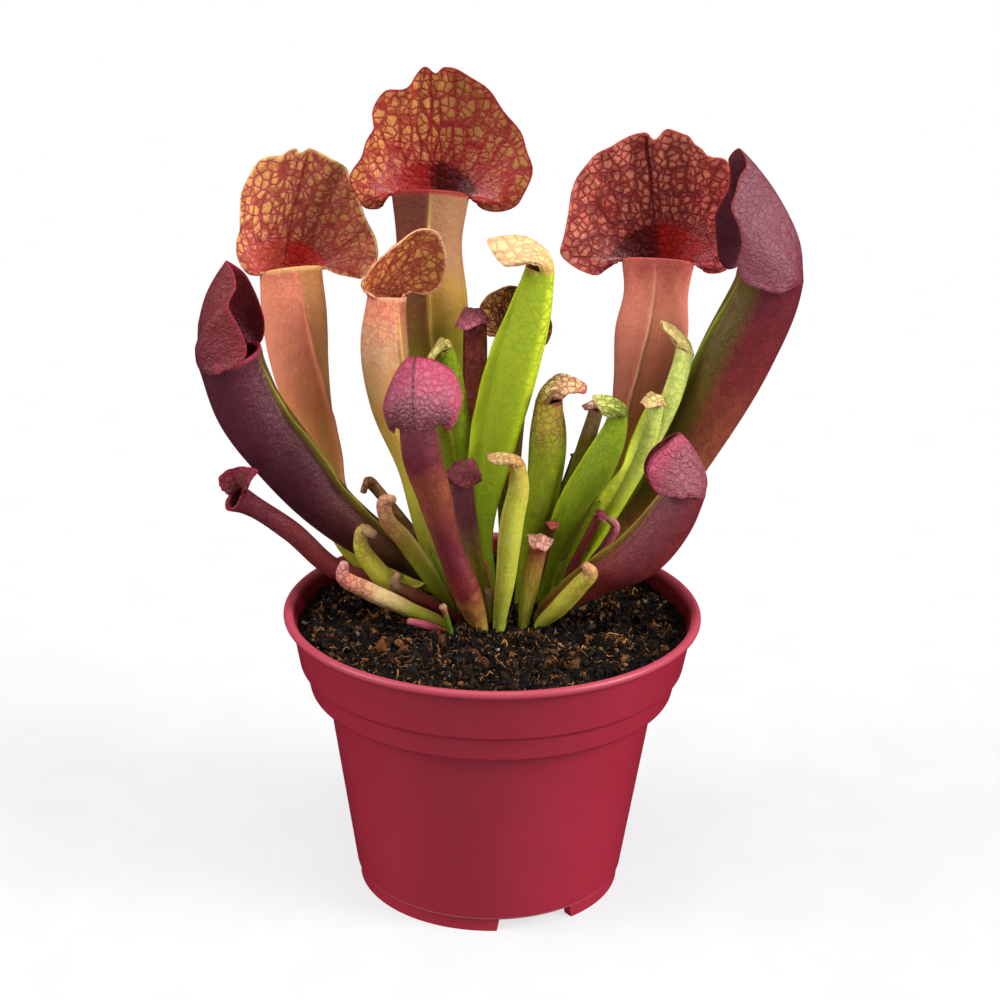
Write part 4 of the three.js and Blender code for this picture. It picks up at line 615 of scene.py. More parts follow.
def build_leaf(name, shape):
    """One pitcher: tube, fin, rolled lip, hood and the hollow behind the mouth, as one closed mesh."""
    leaf = Leaf(shape)
    skin = Skin()
    columns = tube_columns(shape)
    angles, widths, heights = columns
    hood = shape["hood_columns"]
    across = angles / math.pi + np.where(widths < 0, -2, 0)
    lip_share = smooth(np.abs(angles), HOOD_SPREAD, HOOD_SPREAD + 0.45)
    collar = leaf.knots[2]
    s = np.concatenate([[0, collar * 0.5], np.linspace(collar, 1, shape["tube_rows"])])
    flare = shape["lip"] * smooth(s, LIP_FROM, 1)[:, None] * lip_share
    outer_points = tube_points(leaf, s, columns, -flare)
    distance = ((s - 1) * leaf.length)[:, None]
    ridge = np.where(heights > 0, heights, 0) * np.minimum(leaf.fin_height(s), 1)[:, None]
    lip = smooth(s, 1 - 1.6 / leaf.length, 1)[:, None] * lip_share
    outer = skin.add(outer_points, s[:, None], across, 0.0, ridge, lip, distance)
    mouth = leaf.frames(1.0)
    radius = mouth[4][0]
    wall = min(TUBE_WALL, radius * 0.35)
    inner_s = 1 - leaf.shape["depth"] * np.linspace(0, 1, shape["inner_rows"] + 1) ** 1.3
    inner_points = tube_points(leaf, inner_s, columns, wall, fin=False)
    inner_lip = (np.exp(-np.arange(len(inner_s)) * 1.2)[:, None] * lip_share)
    inner_distance = ((inner_s - 1) * leaf.length)[:, None]
    inner = skin.add(inner_points, inner_s[:, None], across, 1.0, 0.0, inner_lip, inner_distance)
    skin.band(outer, closed=True)
    skin.band(inner, closed=True)
    foot = skin.add(leaf.frames(0.0)[0], 0.0, 0.0, 0.0)
    well = skin.add(leaf.frames(1 - leaf.shape["depth"])[0], 1 - leaf.shape["depth"], 0.0, 1.0)
    skin.fan(foot[0], outer[0])
    skin.fan(well[0], inner[-1], flip=True)
    hood_across = np.linspace(-1, 1, hood)
    rim = outer_points[-1][:hood]
    rows = shape["hood_rows"]
    sheet = hood_sheet(leaf, mouth, rim, hood_across, rows)
    full = np.vstack([rim[None], sheet])
    normals = sheet_normals(full)
    t = np.arange(1, rows + 1) / rows
    thickness = wall + (MARGIN_THICKNESS - wall) * smooth(t, 0.1, 1)
    under = sheet - normals[1:] * thickness[:, None, None]
    reach = np.cumsum(np.linalg.norm(np.diff(full, axis=0), axis=2), axis=0)
    left = reach[-1:] - reach
    edge = np.exp(-left / 0.7)
    side_edge = np.exp(-(1 - np.abs(hood_across)) * HOOD_SPREAD * radius * (1 + 2 * t[:, None]) / 0.7)
    edge = np.maximum(edge, side_edge * smooth(t, 0, 0.3)[:, None])
    place = (1 + t)[:, None]
    hood_place = across[:hood]
    outside = skin.add(sheet, place, hood_place, 0.0, 0.0, edge, reach)
    inside = skin.add(under, place, hood_place, 1.0, 0.0, edge, reach)
    outside = np.vstack([outer[-1][:hood][None], outside])
    inside = np.vstack([inner[0][:hood][None], inside])
    skin.band(outside)
    skin.band(inside, flip=True)
    close_hood(skin, mouth, outside, inside, outer[-1], inner[0], hood)
    piece = skin.build(name + "_skin")
    return piece, dict(leaf=leaf, under=under, sheet=sheet, normals=normals[1:], across=hood_across, t=t)


def close_hood(skin, mouth, outside, inside, rim, inner_rim, hood):
    """The rounded edge: up one side of the hood, over its margin, down, and along the lip."""
    centre, along = mouth[0][0], mouth[1][0]
    points = np.vstack(skin.points)
    front_rim = rim[hood:]
    outer = np.concatenate([outside[:, 0], outside[-1, 1:], outside[-2::-1, -1], front_rim])
    inner = np.concatenate([inside[:, 0], inside[-1, 1:], inside[-2::-1, -1], inner_rim[hood:]])
    first = unit(points[outside[:, 0]] - points[outside[:, 1]])
    over = unit(points[outside[-1, 1:]] - points[outside[-2, 1:]])
    last = unit(points[outside[-2::-1, -1]] - points[outside[-2::-1, -2]])
    roll = unit(unit(points[front_rim] - centre) * 0.5 + along)
    bulge = np.vstack([first, over, last, roll])
    place = np.vstack(skin.place)[outer]
    trim = np.vstack(skin.trim)[outer]
    edge = np.maximum(trim[:, 1], 0.85)
    rolled_edge(skin, outer, inner, bulge, (place[:, 0], place[:, 1], edge, trim[:, 2]))


def build_bud(name, shape):
    """A young leaf without an open mouth: tube, low fin and a rounded tip."""
    leaf = Leaf(shape)
    skin = Skin()
    collar = leaf.knots[2]
    s = np.concatenate([[0, collar * 0.5], np.linspace(collar, 1, BUD_ROWS)])
    centre, along, front, side, radius = (part[:, None] for part in leaf.frames(s))
    angle = 2 * math.pi * np.arange(BUD_SIDES) / BUD_SIDES
    off_front = np.abs((angle + math.pi) % (2 * math.pi) - math.pi)
    flat = leaf.get("flat", 1)
    fin = leaf.fin_height(s)[:, None] * np.exp(-(off_front / 0.22) ** 2)
    x = -radius * np.sin(angle)
    y = (radius * flat + fin) * np.cos(angle)
    rings = centre + side * x[..., None] + front * y[..., None]
    across = 1 - angle / math.pi
    ridge = np.exp(-(off_front / 0.25) ** 2) * np.minimum(leaf.fin_height(s), 1)[:, None]
    distance = ((s - 1) * leaf.length)[:, None]
    index = skin.add(rings, s[:, None], across, 0.0, ridge, 0.0, distance)
    end = [part[-1] for part in (centre[:, 0], along[:, 0], front[:, 0], side[:, 0], radius[:, 0])]
    turn = (math.pi / 2 * np.arange(1, BUD_TIP_ROWS) / BUD_TIP_ROWS)[:, None]
    reach = end[4] * leaf.get("blunt", 0.8)
    tip_rings = (
        end[0]
        - end[3] * (end[4] * np.cos(turn) * np.sin(angle))[..., None]
        + end[2] * (end[4] * flat * np.cos(turn) * np.cos(angle))[..., None]
        + end[1] * (reach * np.sin(turn))[..., None]
    )
    tip_index = skin.add(tip_rings, 1 + 0.03 * turn, across, 0.0, 0.0, 0.0, reach * np.sin(turn))
    tip = skin.add((end[0] + end[1] * reach)[None], 1.05, 0.0, 0.0, 0.0, 0.0, reach)
    foot = skin.add(leaf.frames(0.0)[0], 0.0, 0.0, 0.0)
    grid = np.vstack([index, tip_index])
    skin.band(grid, closed=True, flip=True)
    skin.fan(foot[0], grid[0])
    skin.fan(tip[0], grid[-1], flip=True)
    return skin.build(name + "_skin"), leaf


# Colours, named for what they are on the plant.
PALETTE = {
    "lime": "#b2c41c", "bright_lime": "#ccd830", "leaf_green": "#84981a", "deep_green": "#4a6c0c",
    "shade_green": "#38480c", "olive": "#8a7e20", "dark_olive": "#4c4a10", "ochre": "#b48c3c",
    "gold": "#e2b654", "straw": "#dcc488", "tan": "#c69c74", "cream": "#ecd690", "cream_green": "#d4dc74",
    "yellow_green": "#c2c040", "orange": "#d48450", "amber": "#b47840", "salmon": "#de8468",
    "peach": "#e2a47c",
    "rose": "#c45a50", "brick": "#a83c30", "pink": "#d06c80", "hot_pink": "#ac3a5c", "pale_pink": "#e4a8a4",
    "mauve": "#743c48", "grey_mauve": "#86525e", "plum": "#522230", "wine": "#6c2430", "claret": "#7c2a2a",
    "maroon": "#481418", "dark_maroon": "#2c0809", "crimson": "#8a1c38", "vein_red": "#8c1c20",
    "vein_dark": "#5c0c18", "red": "#b8241c", "throat_red": "#981410", "throat_dark": "#4c0404",
    "brown": "#744a2c", "rust": "#904a30", "dark_brown": "#3c2210", "brown_mauve": "#5e3228",
    "bud_head": "#b89474", "buff": "#a27a56", "throat_pink": "#b84434", "lip_gold": "#ecc478",
    "white_hair": "#dcc4c8",
}

# What each leaf looks like where it differs from a plain green one. Stops are places along the tube
# or up the hood, with a colour of the palette. Side shading is painted light and shade on one side of
# the hood across the keel; the hollow colour is painted shade inside the tube below the mouth.
PLAIN_LOOK = dict(
    slot="leaf_lime", tube=((0.0, "leaf_green"), (1.0, "lime")), mottle="leaf_green", mottle_amount=0.3,
    flanks=(), tube_vein="deep_green", tube_vein_amount=0.35, tube_net=0.25, net_from=0.6,
    hood=((0.0, "lime"), (1.0, "cream_green")), hood_back=None, vein="brown", vein_amount=0.5, net=(22, 6.0),
    mesh=500, cell="cream", cell_light=0.25, halo="salmon", halo_amount=0.1, side_shading=(), throat=None, keel=0.3,
    lobe=None, edge="ochre", edge_amount=0.35, ridge="lime", ridge_amount=0.5, hollow="shade_green",
    gloss=0.38, shine=0.18, puff=0.25, bloom=None,
)

LOOKS = {
    "leaf_hood_left": dict(
        slot="leaf_open_hood",
        tube=((0.1, "lime"), (0.4, "olive"), (0.52, "ochre"), (0.68, "orange"), (0.84, "salmon"),
        (1.0, "salmon")), mottle="orange", mottle_amount=0.35, flanks=(("olive", 0.3, 0.6, 0.5, 0.5),),
        tube_vein="brick", tube_vein_amount=0.25, tube_net=0.3, net_from=0.8,
        hood=((0.0, "red"), (0.18, "rose"), (0.42, "salmon"), (1.0, "salmon")), hood_back="peach",
        vein="vein_red", vein_amount=0.8, net=(29, 8.6), mesh=385, cell="gold", cell_light=0.65,
        halo="rose", halo_amount=0.25, side_shading=(("brown", 0.0, 0.14, 0.6),),
        throat=("throat_pink", "red", 2.8), keel=0.75, lobe=("rose", 0.4), edge="lip_gold",
        edge_amount=0.5, ridge="salmon", ridge_amount=0.6, hollow="olive",
    ),
    "leaf_hood_centre": dict(
        slot="leaf_open_hood",
        tube=((0.1, "leaf_green"), (0.55, "leaf_green"), (0.68, "olive"), (0.78, "ochre"), (0.88, "buff"),
        (1.0, "buff")), mottle="rust", mottle_amount=0.25,
        flanks=(("brown_mauve", 0.02, -0.05, 0.7, 0.95),), tube_vein="brick", tube_vein_amount=0.25,
        tube_net=0.15, net_from=0.75,
        hood=((0.0, "vein_red"), (0.2, "brick"), (0.45, "orange"), (1.0, "orange")), hood_back="rose",
        vein="vein_red", vein_amount=0.95, net=(30, 8.8), mesh=385, cell="gold", cell_light=0.5,
        halo="brick", halo_amount=0.3, throat=("throat_red", "throat_dark", 3.4), keel=0.85,
        lobe=("rose", 0.4), edge="vein_red", edge_amount=0.85, ridge="gold", ridge_amount=0.8,
        hollow="throat_dark", side_shading=(("dark_brown", 0.0, 0.12, 0.5), ("rust", 0.0, -0.1, 0.3)),
    ),
    "leaf_hood_right": dict(
        slot="leaf_open_hood",
        tube=((0.1, "leaf_green"), (0.4, "yellow_green"), (0.58, "orange"), (0.7, "salmon"),
        (0.9, "salmon"), (1.0, "rose")), mottle="salmon", mottle_amount=0.35,
        flanks=(("mauve", -0.2, -0.5, 0.6, 0.25),), tube_vein="brick", tube_vein_amount=0.3,
        tube_net=0.15, net_from=0.8,
        hood=((0.0, "maroon"), (0.2, "vein_red"), (0.5, "brick"), (1.0, "rose")), hood_back="brick",
        vein="vein_dark", vein_amount=0.75, net=(36, 8.4), mesh=420, cell="peach", cell_light=0.42,
        halo="claret", halo_amount=0.3, throat=("throat_dark", "throat_red", 3.6), keel=0.9,
        lobe=("hot_pink", 0.45), edge="rose", edge_amount=0.5, ridge="peach", ridge_amount=0.9,
        hollow="throat_dark", side_shading=(("red", 0.2, 0.4, 0.5),),
    ),
    "leaf_maroon_left": dict(
        slot="leaf_maroon",
        tube=((0.05, "leaf_green"), (0.2, "dark_olive"), (0.38, "brown_mauve"), (0.6, "plum"),
        (0.85, "plum"), (1.0, "plum")), mottle="maroon", mottle_amount=0.35,
        flanks=(("dark_olive", 0.7, 0.85, 0.3, 0.7),), tube_vein="maroon", tube_vein_amount=0.4,
        hood=((0.0, "plum"), (0.5, "wine"), (1.0, "claret")), vein="maroon", vein_amount=0.25,
        net=(27, 10.4), mesh=620, cell="mauve", cell_light=0.06, halo="maroon", keel=0.2, edge="crimson",
        edge_amount=0.8, ridge="olive", ridge_amount=0.9, hollow="claret", gloss=0.3, shine=0.3,
        bloom=("grey_mauve", 0.03), puff=0.06,
    ),
    "leaf_maroon_right": dict(
        slot="leaf_maroon",
        tube=((0.05, "leaf_green"), (0.2, "olive"), (0.36, "rust"), (0.6, "rust"), (0.8, "claret"),
        (1.0, "wine")), mottle="maroon", mottle_amount=0.35,
        flanks=(("dark_olive", 0.66, 0.82, 0.3, 0.85), ("dark_olive", -0.66, -0.82, 0.3, 0.85)),
        tube_vein="maroon", tube_vein_amount=0.4,
        hood=((0.0, "wine"), (0.4, "mauve"), (1.0, "mauve")), vein="wine", vein_amount=0.3,
        net=(27, 10.4), mesh=560, cell="grey_mauve", cell_light=0.1, halo="wine", halo_amount=0.15,
        keel=0.2, edge="claret", edge_amount=0.8, ridge="leaf_green", ridge_amount=0.8, hollow="maroon",
        gloss=0.3, shine=0.3, bloom=("grey_mauve", 0.08), puff=0.06,
    ),
    "leaf_purple_low_right": dict(
        slot="leaf_purple",
        tube=((0.05, "olive"), (0.2, "rust"), (0.5, "claret"), (0.8, "claret"), (1.0, "wine")),
        mottle="maroon", mottle_amount=0.35, flanks=(("mauve", 0.3, 0.6, 0.6, 0.5),), tube_vein="maroon",
        tube_vein_amount=0.4,
        hood=((0.0, "wine"), (0.3, "mauve"), (0.75, "mauve"), (1.0, "hot_pink")), vein="crimson",
        vein_amount=0.3, net=(24, 7.8), mesh=620, cell="pink", cell_light=0.1, edge="vein_dark",
        edge_amount=0.8, ridge="olive", ridge_amount=0.9, hollow="dark_maroon", gloss=0.28, shine=0.35,
        puff=0.12, bloom=("pale_pink", 0.03),
    ),
    "leaf_pink_front": dict(
        slot="leaf_purple",
        tube=((0.03, "yellow_green"), (0.12, "ochre"), (0.3, "claret"), (0.5, "wine"), (0.75, "rust"),
        (0.88, "wine"), (1.0, "mauve")), mottle="plum", mottle_amount=0.35, tube_vein="maroon",
        tube_vein_amount=0.7,
        hood=((0.0, "plum"), (0.3, "mauve"), (0.6, "hot_pink"), (1.0, "hot_pink")), vein="plum",
        vein_amount=0.3, net=(22, 7.3), mesh=620, cell="pink", cell_light=0.12,
        side_shading=(("plum", -0.1, 0.4, 0.7),), keel=0.8, edge="crimson", edge_amount=0.6,
        hollow="dark_maroon", gloss=0.2, shine=0.5, puff=0.35, bloom=("pale_pink", 0.06),
    ),
    "leaf_orange_left": dict(
        slot="leaf_orange",
        tube=((0.1, "leaf_green"), (0.45, "yellow_green"), (0.68, "ochre"), (0.86, "tan"),
        (1.0, "salmon")), mottle="orange", flanks=(("brown", 0.4, 0.7, 0.6, 0.45),), tube_vein="brick",
        tube_net=0.35, net_from=0.72,
        hood=((0.0, "amber"), (0.4, "orange"), (1.0, "orange")), hood_back="salmon", vein="vein_red",
        vein_amount=0.75, net=(22, 8.3), mesh=410, cell="gold", cell_light=0.6, halo="rose",
        halo_amount=0.2, keel=0.6, edge="peach", edge_amount=0.9, ridge="gold", ridge_amount=0.7,
        hollow="brown",
    ),
    "leaf_lime_tall": dict(
        tube=((0.1, "leaf_green"), (0.4, "leaf_green"), (0.6, "lime"), (0.85, "bright_lime"),
        (1.0, "bright_lime")), flanks=(("leaf_green", 0.3, 0.45, 0.3, 0.8),), tube_vein="leaf_green",
        tube_vein_amount=0.5, tube_net=0.6,
        hood=((0.0, "lime"), (0.25, "cream_green"), (0.6, "cream"), (1.0, "straw")), vein="salmon",
        vein_amount=0.75, net=(17, 7.0), mesh=360, cell_light=0.05, edge="salmon", edge_amount=0.2,
        ridge_amount=0.7, hollow="leaf_green",
    ),
    "leaf_dark_small_left": dict(
        slot="leaf_maroon",
        tube=((0.05, "leaf_green"), (0.2, "rust"), (0.6, "claret"), (1.0, "wine")), mottle="mauve",
        mottle_amount=0.4, tube_vein="dark_maroon", tube_vein_amount=0.6,
        hood=((0.0, "maroon"), (1.0, "crimson")), vein="dark_maroon", vein_amount=0.35, net=(14, 7.8),
        edge="crimson", edge_amount=0.5, hollow="dark_maroon", gloss=0.3, cell="claret", cell_light=0.1,
    ),
    "leaf_netted_green": dict(
        slot="leaf_netted",
        tube=((0.1, "leaf_green"), (0.5, "leaf_green"), (0.8, "leaf_green"), (1.0, "ochre")),
        mottle="lime", mottle_amount=0.4, tube_vein="brown", tube_vein_amount=0.5, tube_net=0.6,
        net_from=0.65,
        hood=((0.0, "yellow_green"), (0.5, "straw"), (1.0, "peach")), vein="claret", vein_amount=0.8,
        net=(19, 5.7), cell_light=0.5, edge="crimson", edge_amount=0.6, ridge="olive", ridge_amount=0.4,
        hollow="dark_brown",
    ),
    "leaf_green_curled": dict(
        tube=((0.1, "leaf_green"), (1.0, "leaf_green")), mottle="deep_green", mottle_amount=0.25,
        tube_vein="shade_green", tube_vein_amount=0.6, tube_net=0.2,
        hood=((0.0, "deep_green"), (0.5, "leaf_green"), (1.0, "cream_green")), vein="shade_green",
        vein_amount=0.7, net=(14, 6.8), edge="tan", edge_amount=0.5, ridge_amount=0.8, gloss=0.3,
    ),
    "leaf_yellow_tall": dict(
        slot="leaf_yellow",
        tube=((0.1, "leaf_green"), (0.5, "lime"), (0.8, "cream_green"), (1.0, "cream_green")),
        mottle_amount=0.4,
        hood=((0.0, "cream_green"), (1.0, "cream")), vein="ochre", vein_amount=0.6, net=(14, 6.0),
        edge="cream", edge_amount=0.4, ridge="bright_lime", ridge_amount=0.6,
    ),
    "leaf_pale_front": dict(
        slot="leaf_yellow",
        tube=((0.03, "wine"), (0.1, "leaf_green"), (0.4, "yellow_green"), (0.8, "yellow_green"),
        (1.0, "ochre")), mottle="cream_green", mottle_amount=0.4, tube_vein="leaf_green",
        tube_vein_amount=0.4,
        hood=((0.0, "ochre"), (1.0, "straw")), vein="rust", vein_amount=0.6, net=(14, 6.2), edge="salmon",
        edge_amount=0.5, ridge="cream_green", ridge_amount=0.6,
    ),
    "leaf_netted_brown": dict(
        slot="leaf_netted",
        tube=((0.1, "leaf_green"), (0.5, "olive"), (0.8, "brown"), (1.0, "brown")), mottle="olive",
        tube_vein="maroon", tube_vein_amount=0.6, tube_net=0.5,
        hood=((0.0, "brown"), (0.4, "amber"), (1.0, "amber")), vein="maroon", vein_amount=0.9,
        net=(20, 6.8), mesh=420, cell="ochre", cell_light=0.4, edge="brown", edge_amount=0.5,
        hollow="dark_brown",
    ),
    "leaf_ruffled": dict(
        tube=((0.1, "leaf_green"), (0.5, "lime"), (1.0, "cream_green")), mottle="bright_lime",
        hood=((0.0, "cream_green"), (1.0, "cream")), vein="rust", vein_amount=0.7, edge="tan",
        ridge="bright_lime", ridge_amount=0.9,
    ),
    "leaf_hook_behind_curled": dict(
        tube=((0.1, "deep_green"), (0.6, "leaf_green"), (0.85, "olive"), (1.0, "tan")), mottle="olive",
        tube_vein="claret", tube_vein_amount=0.6,
        hood=((0.0, "tan"), (0.5, "straw"), (1.0, "pale_pink")), vein="claret", vein_amount=0.7,
        edge="rose",
    ),
    "leaf_brown_cap": dict(
        slot="leaf_purple",
        tube=((0.1, "leaf_green"), (0.5, "ochre"), (0.75, "rose"), (1.0, "wine")), mottle="salmon",
        mottle_amount=0.4, flanks=(("wine", -0.2, -0.5, 0.4, 0.7),), tube_vein="maroon",
        tube_vein_amount=0.7,
        hood=((0.0, "plum"), (0.6, "mauve"), (1.0, "pink")), vein="maroon", vein_amount=0.6,
        net=(20, 5.0), cell="pink", edge="plum", hollow="dark_maroon", cell_light=0.12,
    ),
    "leaf_purple_cap": dict(
        slot="leaf_purple",
        tube=((0.1, "leaf_green"), (0.5, "olive"), (0.75, "mauve"), (1.0, "mauve")), mottle="brown",
        tube_vein="maroon", tube_vein_amount=0.7,
        hood=((0.0, "plum"), (1.0, "wine")), vein="maroon", vein_amount=0.6, edge="maroon",
        hollow="dark_maroon", gloss=0.3, bloom=("grey_mauve", 0.3), cell="grey_mauve", cell_light=0.1,
    ),
    "leaf_short_cap": dict(
        slot="leaf_brown",
        tube=((0.1, "leaf_green"), (0.5, "yellow_green"), (0.8, "ochre"), (1.0, "rust")), mottle="ochre",
        tube_vein="claret", tube_vein_amount=0.7,
        hood=((0.0, "tan"), (1.0, "pale_pink")), vein="rust", vein_amount=0.7, cell_light=0.4,
        edge="rose",
    ),
    "leaf_green_hook": dict(
        tube=((0.1, "leaf_green"), (0.6, "leaf_green"), (1.0, "leaf_green")), mottle="lime",
        tube_vein_amount=0.6, tube_net=0.5,
        hood=((0.0, "leaf_green"), (1.0, "cream_green")), vein="claret", vein_amount=0.6, net=(15, 5.7),
        edge="rose",
    ),
    "leaf_dried_brown": dict(
        slot="leaf_brown",
        tube=((0.1, "olive"), (0.4, "brown"), (1.0, "rust")), mottle="tan", mottle_amount=0.4,
        hood=((0.0, "rust"), (1.0, "rust")), vein="dark_brown", edge="tan", gloss=0.6,
    ),
    "leaf_dark_cap_right": dict(
        slot="leaf_maroon",
        tube=((0.1, "olive"), (0.5, "claret"), (1.0, "crimson")), mottle="maroon",
        hood=((0.0, "crimson"), (1.0, "hot_pink")), vein="maroon", edge="pale_pink", cell="crimson",
        cell_light=0.1,
    ),
    "leaf_dark_cap_middle": dict(
        slot="leaf_maroon",
        tube=((0.1, "deep_green"), (0.5, "maroon"), (1.0, "claret")), mottle="plum",
        hood=((0.0, "crimson"), (1.0, "rose")), vein="maroon", edge="rose", cell="crimson",
        cell_light=0.1,
    ),
    "leaf_small_cap_back": dict(
        slot="leaf_brown",
        tube=((0.1, "deep_green"), (0.6, "leaf_green"), (1.0, "brown")), mottle="olive",
        hood=((0.0, "rust"), (1.0, "tan")), vein="maroon", edge="tan",
    ),
    "leaf_hook_short_left": dict(
        slot="leaf_brown",
        tube=((0.1, "leaf_green"), (0.45, "leaf_green"), (0.72, "olive"), (1.0, "peach")), mottle="rust",
        tube_vein="claret", tube_vein_amount=0.7, tube_net=0.5, ridge="tan",
    ),
    "leaf_hook_left": dict(
        slot="leaf_brown",
        tube=((0.1, "leaf_green"), (0.6, "yellow_green"), (0.85, "yellow_green"), (1.0, "bud_head")),
        mottle="lime", tube_vein="rust", tube_vein_amount=0.6, tube_net=0.5, ridge="tan",
    ),
    "leaf_lying_tan": dict(
        slot="leaf_brown",
        tube=((0.1, "leaf_green"), (0.4, "leaf_green"), (0.65, "straw"), (0.9, "salmon"),
        (1.0, "pale_pink")), mottle="rose", mottle_amount=0.4, tube_vein="claret", tube_vein_amount=0.75,
        tube_net=0.6, ridge="peach",
    ),
    "leaf_purple_stalk": dict(
        slot="leaf_purple",
        tube=((0.1, "maroon"), (0.6, "claret"), (0.85, "brown"), (1.0, "bud_head")), mottle="plum",
        tube_vein="maroon", tube_vein_amount=0.6,
    ),
    "leaf_pink_bud": dict(
        slot="leaf_pink",
        tube=((0.1, "deep_green"), (0.5, "crimson"), (1.0, "pink")), mottle="hot_pink",
        tube_vein="crimson", tube_vein_amount=0.5,
    ),
    "leaf_stalked_bud": dict(
        slot="leaf_brown",
        tube=((0.1, "shade_green"), (0.8, "deep_green"), (0.92, "rose"), (1.0, "tan")), mottle="olive",
    ),
    "leaf_hook_low_right": dict(
        slot="leaf_brown",
        tube=((0.1, "leaf_green"), (0.6, "yellow_green"), (0.85, "yellow_green"), (1.0, "peach")),
        mottle="ochre", tube_vein="rust", tube_vein_amount=0.6, tube_net=0.4,
    ),
    "leaf_pink_hook": dict(
        slot="leaf_pink",
        tube=((0.1, "maroon"), (0.6, "claret"), (0.9, "pink"), (1.0, "tan")), mottle="rose",
        tube_vein="crimson", tube_vein_amount=0.6,
    ),
    "leaf_tiny_hook": dict(
        slot="leaf_brown",
        tube=((0.1, "deep_green"), (0.6, "olive"), (1.0, "bud_head")), mottle="ochre",
    ),
    "leaf_orange_bud": dict(
        slot="leaf_brown",
        tube=((0.1, "leaf_green"), (0.6, "ochre"), (1.0, "orange")), mottle="amber",
    ),
    "blade_back": dict(
        slot="leaf_brown",
        tube=((0.1, "deep_green"), (0.6, "brown"), (1.0, "brown")), mottle="olive",
    ),
    "blade_right": dict(tube=((0.1, "leaf_green"), (1.0, "lime")), mottle="lime", ridge="bright_lime"),
    "blade_front_left": dict(tube=((0.1, "leaf_green"), (1.0, "leaf_green")), mottle="lime"),
}


def linear(name):
    """A palette colour in the scene's linear values."""
    text = PALETTE.get(name, name).lstrip("#")
    values = [int(text[k:k + 2], 16) / 255 for k in (0, 2, 4)]
    return [v / 12.92 if v <= 0.04045 else ((v + 0.055) / 1.055) ** 2.4 for v in values] + [1.0]


class Value:
    """A number or colour in a node tree, which can be added, taken away and multiplied."""

    def __init__(self, graph, socket):
        self.graph = graph
        self.socket = socket

    def __add__(self, other):
        return self.graph.math("ADD", self, other)

    def __sub__(self, other):
        return self.graph.math("SUBTRACT", self, other)

    def __rsub__(self, other):
        return self.graph.math("SUBTRACT", other, self)

    def __mul__(self, other):
        return self.graph.math("MULTIPLY", self, other)

    __radd__ = __add__
    __rmul__ = __mul__


class Graph:
    """One material's node tree, with a short call for each kind of node."""

    def __init__(self, name):
        self.material = bpy.data.materials.new(name)
        self.material.use_nodes = True
        self.tree = self.material.node_tree
        self.tree.nodes.clear()

    def feed(self, socket, value):
        if isinstance(value, Value):
            self.tree.links.new(value.socket, socket)
        elif isinstance(value, str):
            socket.default_value = linear(value)
        else:
            socket.default_value = value

    def node(self, kind, inputs=(), output=0, **settings):
        """A node of a kind with its inputs and settings, and the value of one of its outputs."""
        node = self.tree.nodes.new(kind)
        for key, value in settings.items():
            setattr(node, key, value)
        for key, value in dict(inputs).items():
            self.feed(node.inputs[key], value)
        return Value(self, node.outputs[output])

    def math(self, operation, a, b=0.0):
        return self.node("ShaderNodeMath", {0: a, 1: b}, operation=operation)

    def absolute(self, value):
        return self.math("ABSOLUTE", value)

    def highest(self, *values):
        result = values[0]
        for value in values[1:]:
            result = self.math("MAXIMUM", result, value)
        return result

    def vector_math(self, operation, a, b):
        return self.node("ShaderNodeVectorMath", {0: a, 1: b}, operation=operation)

    def mix(self, factor, a, b, blend="MIX"):
        inputs = {0: factor, 6: a, 7: b}
        return self.node("ShaderNodeMix", inputs, 2, data_type="RGBA", blend_type=blend)

    def step(self, value, low, high, start=0.0, end=1.0):
        inputs = {0: value, 1: low, 2: high, 3: start, 4: end}
        return self.node("ShaderNodeMapRange", inputs, interpolation_type="SMOOTHSTEP")

    def ramp(self, value, stops):
        result = self.node("ShaderNodeValToRGB", {0: value})
        elements = result.socket.node.color_ramp.elements
        while len(elements) < len(stops):
            elements.new(0.5)
        for element, (position, color) in zip(elements, stops):
            element.position = position
            element.color = linear(color)
        return result

    def noise(self, scale, detail=3.0, vector=None, roughness=0.55, color=False):
        inputs = {"Scale": scale, "Detail": detail, "Roughness": roughness, "Vector": vector or self.here()}
        return self.node("ShaderNodeTexNoise", inputs, 1 if color else 0)

    def cells(self, vector, scale, feature="DISTANCE_TO_EDGE", space="3D"):
        inputs = {"Vector": vector, "Scale": scale, "Randomness": 0.9}
        output = "Color" if feature == "F1" else "Distance"
        return self.node("ShaderNodeTexVoronoi", inputs, output, feature=feature, voronoi_dimensions=space)

    def here(self):
        return self.node("ShaderNodeTexCoord", output="Object")

    def split(self, vector):
        first = self.node("ShaderNodeSeparateXYZ", {0: vector})
        return [Value(self, socket) for socket in first.socket.node.outputs]

    def attribute(self, name):
        return self.split(self.node("ShaderNodeAttribute", output="Vector", attribute_name=name))

    def combine(self, x, y, z=0.0):
        return self.node("ShaderNodeCombineXYZ", {0: x, 1: y, 2: z})

    def finish(self, color, roughness, height, bump=0.3, depth=0.0004, **constants):
        normal = self.node("ShaderNodeBump", {"Strength": bump, "Distance": depth, "Height": height})
        inputs = {"Base Color": color, "Roughness": roughness, "Normal": normal}
        shader = self.node("ShaderNodeBsdfPrincipled", inputs)
        for key, value in constants.items():
            shader.socket.node.inputs[key.replace("_", " ")].default_value = value
        output = self.tree.nodes.new("ShaderNodeOutputMaterial")
        self.tree.links.new(shader.socket, output.inputs[0])
        return self.material


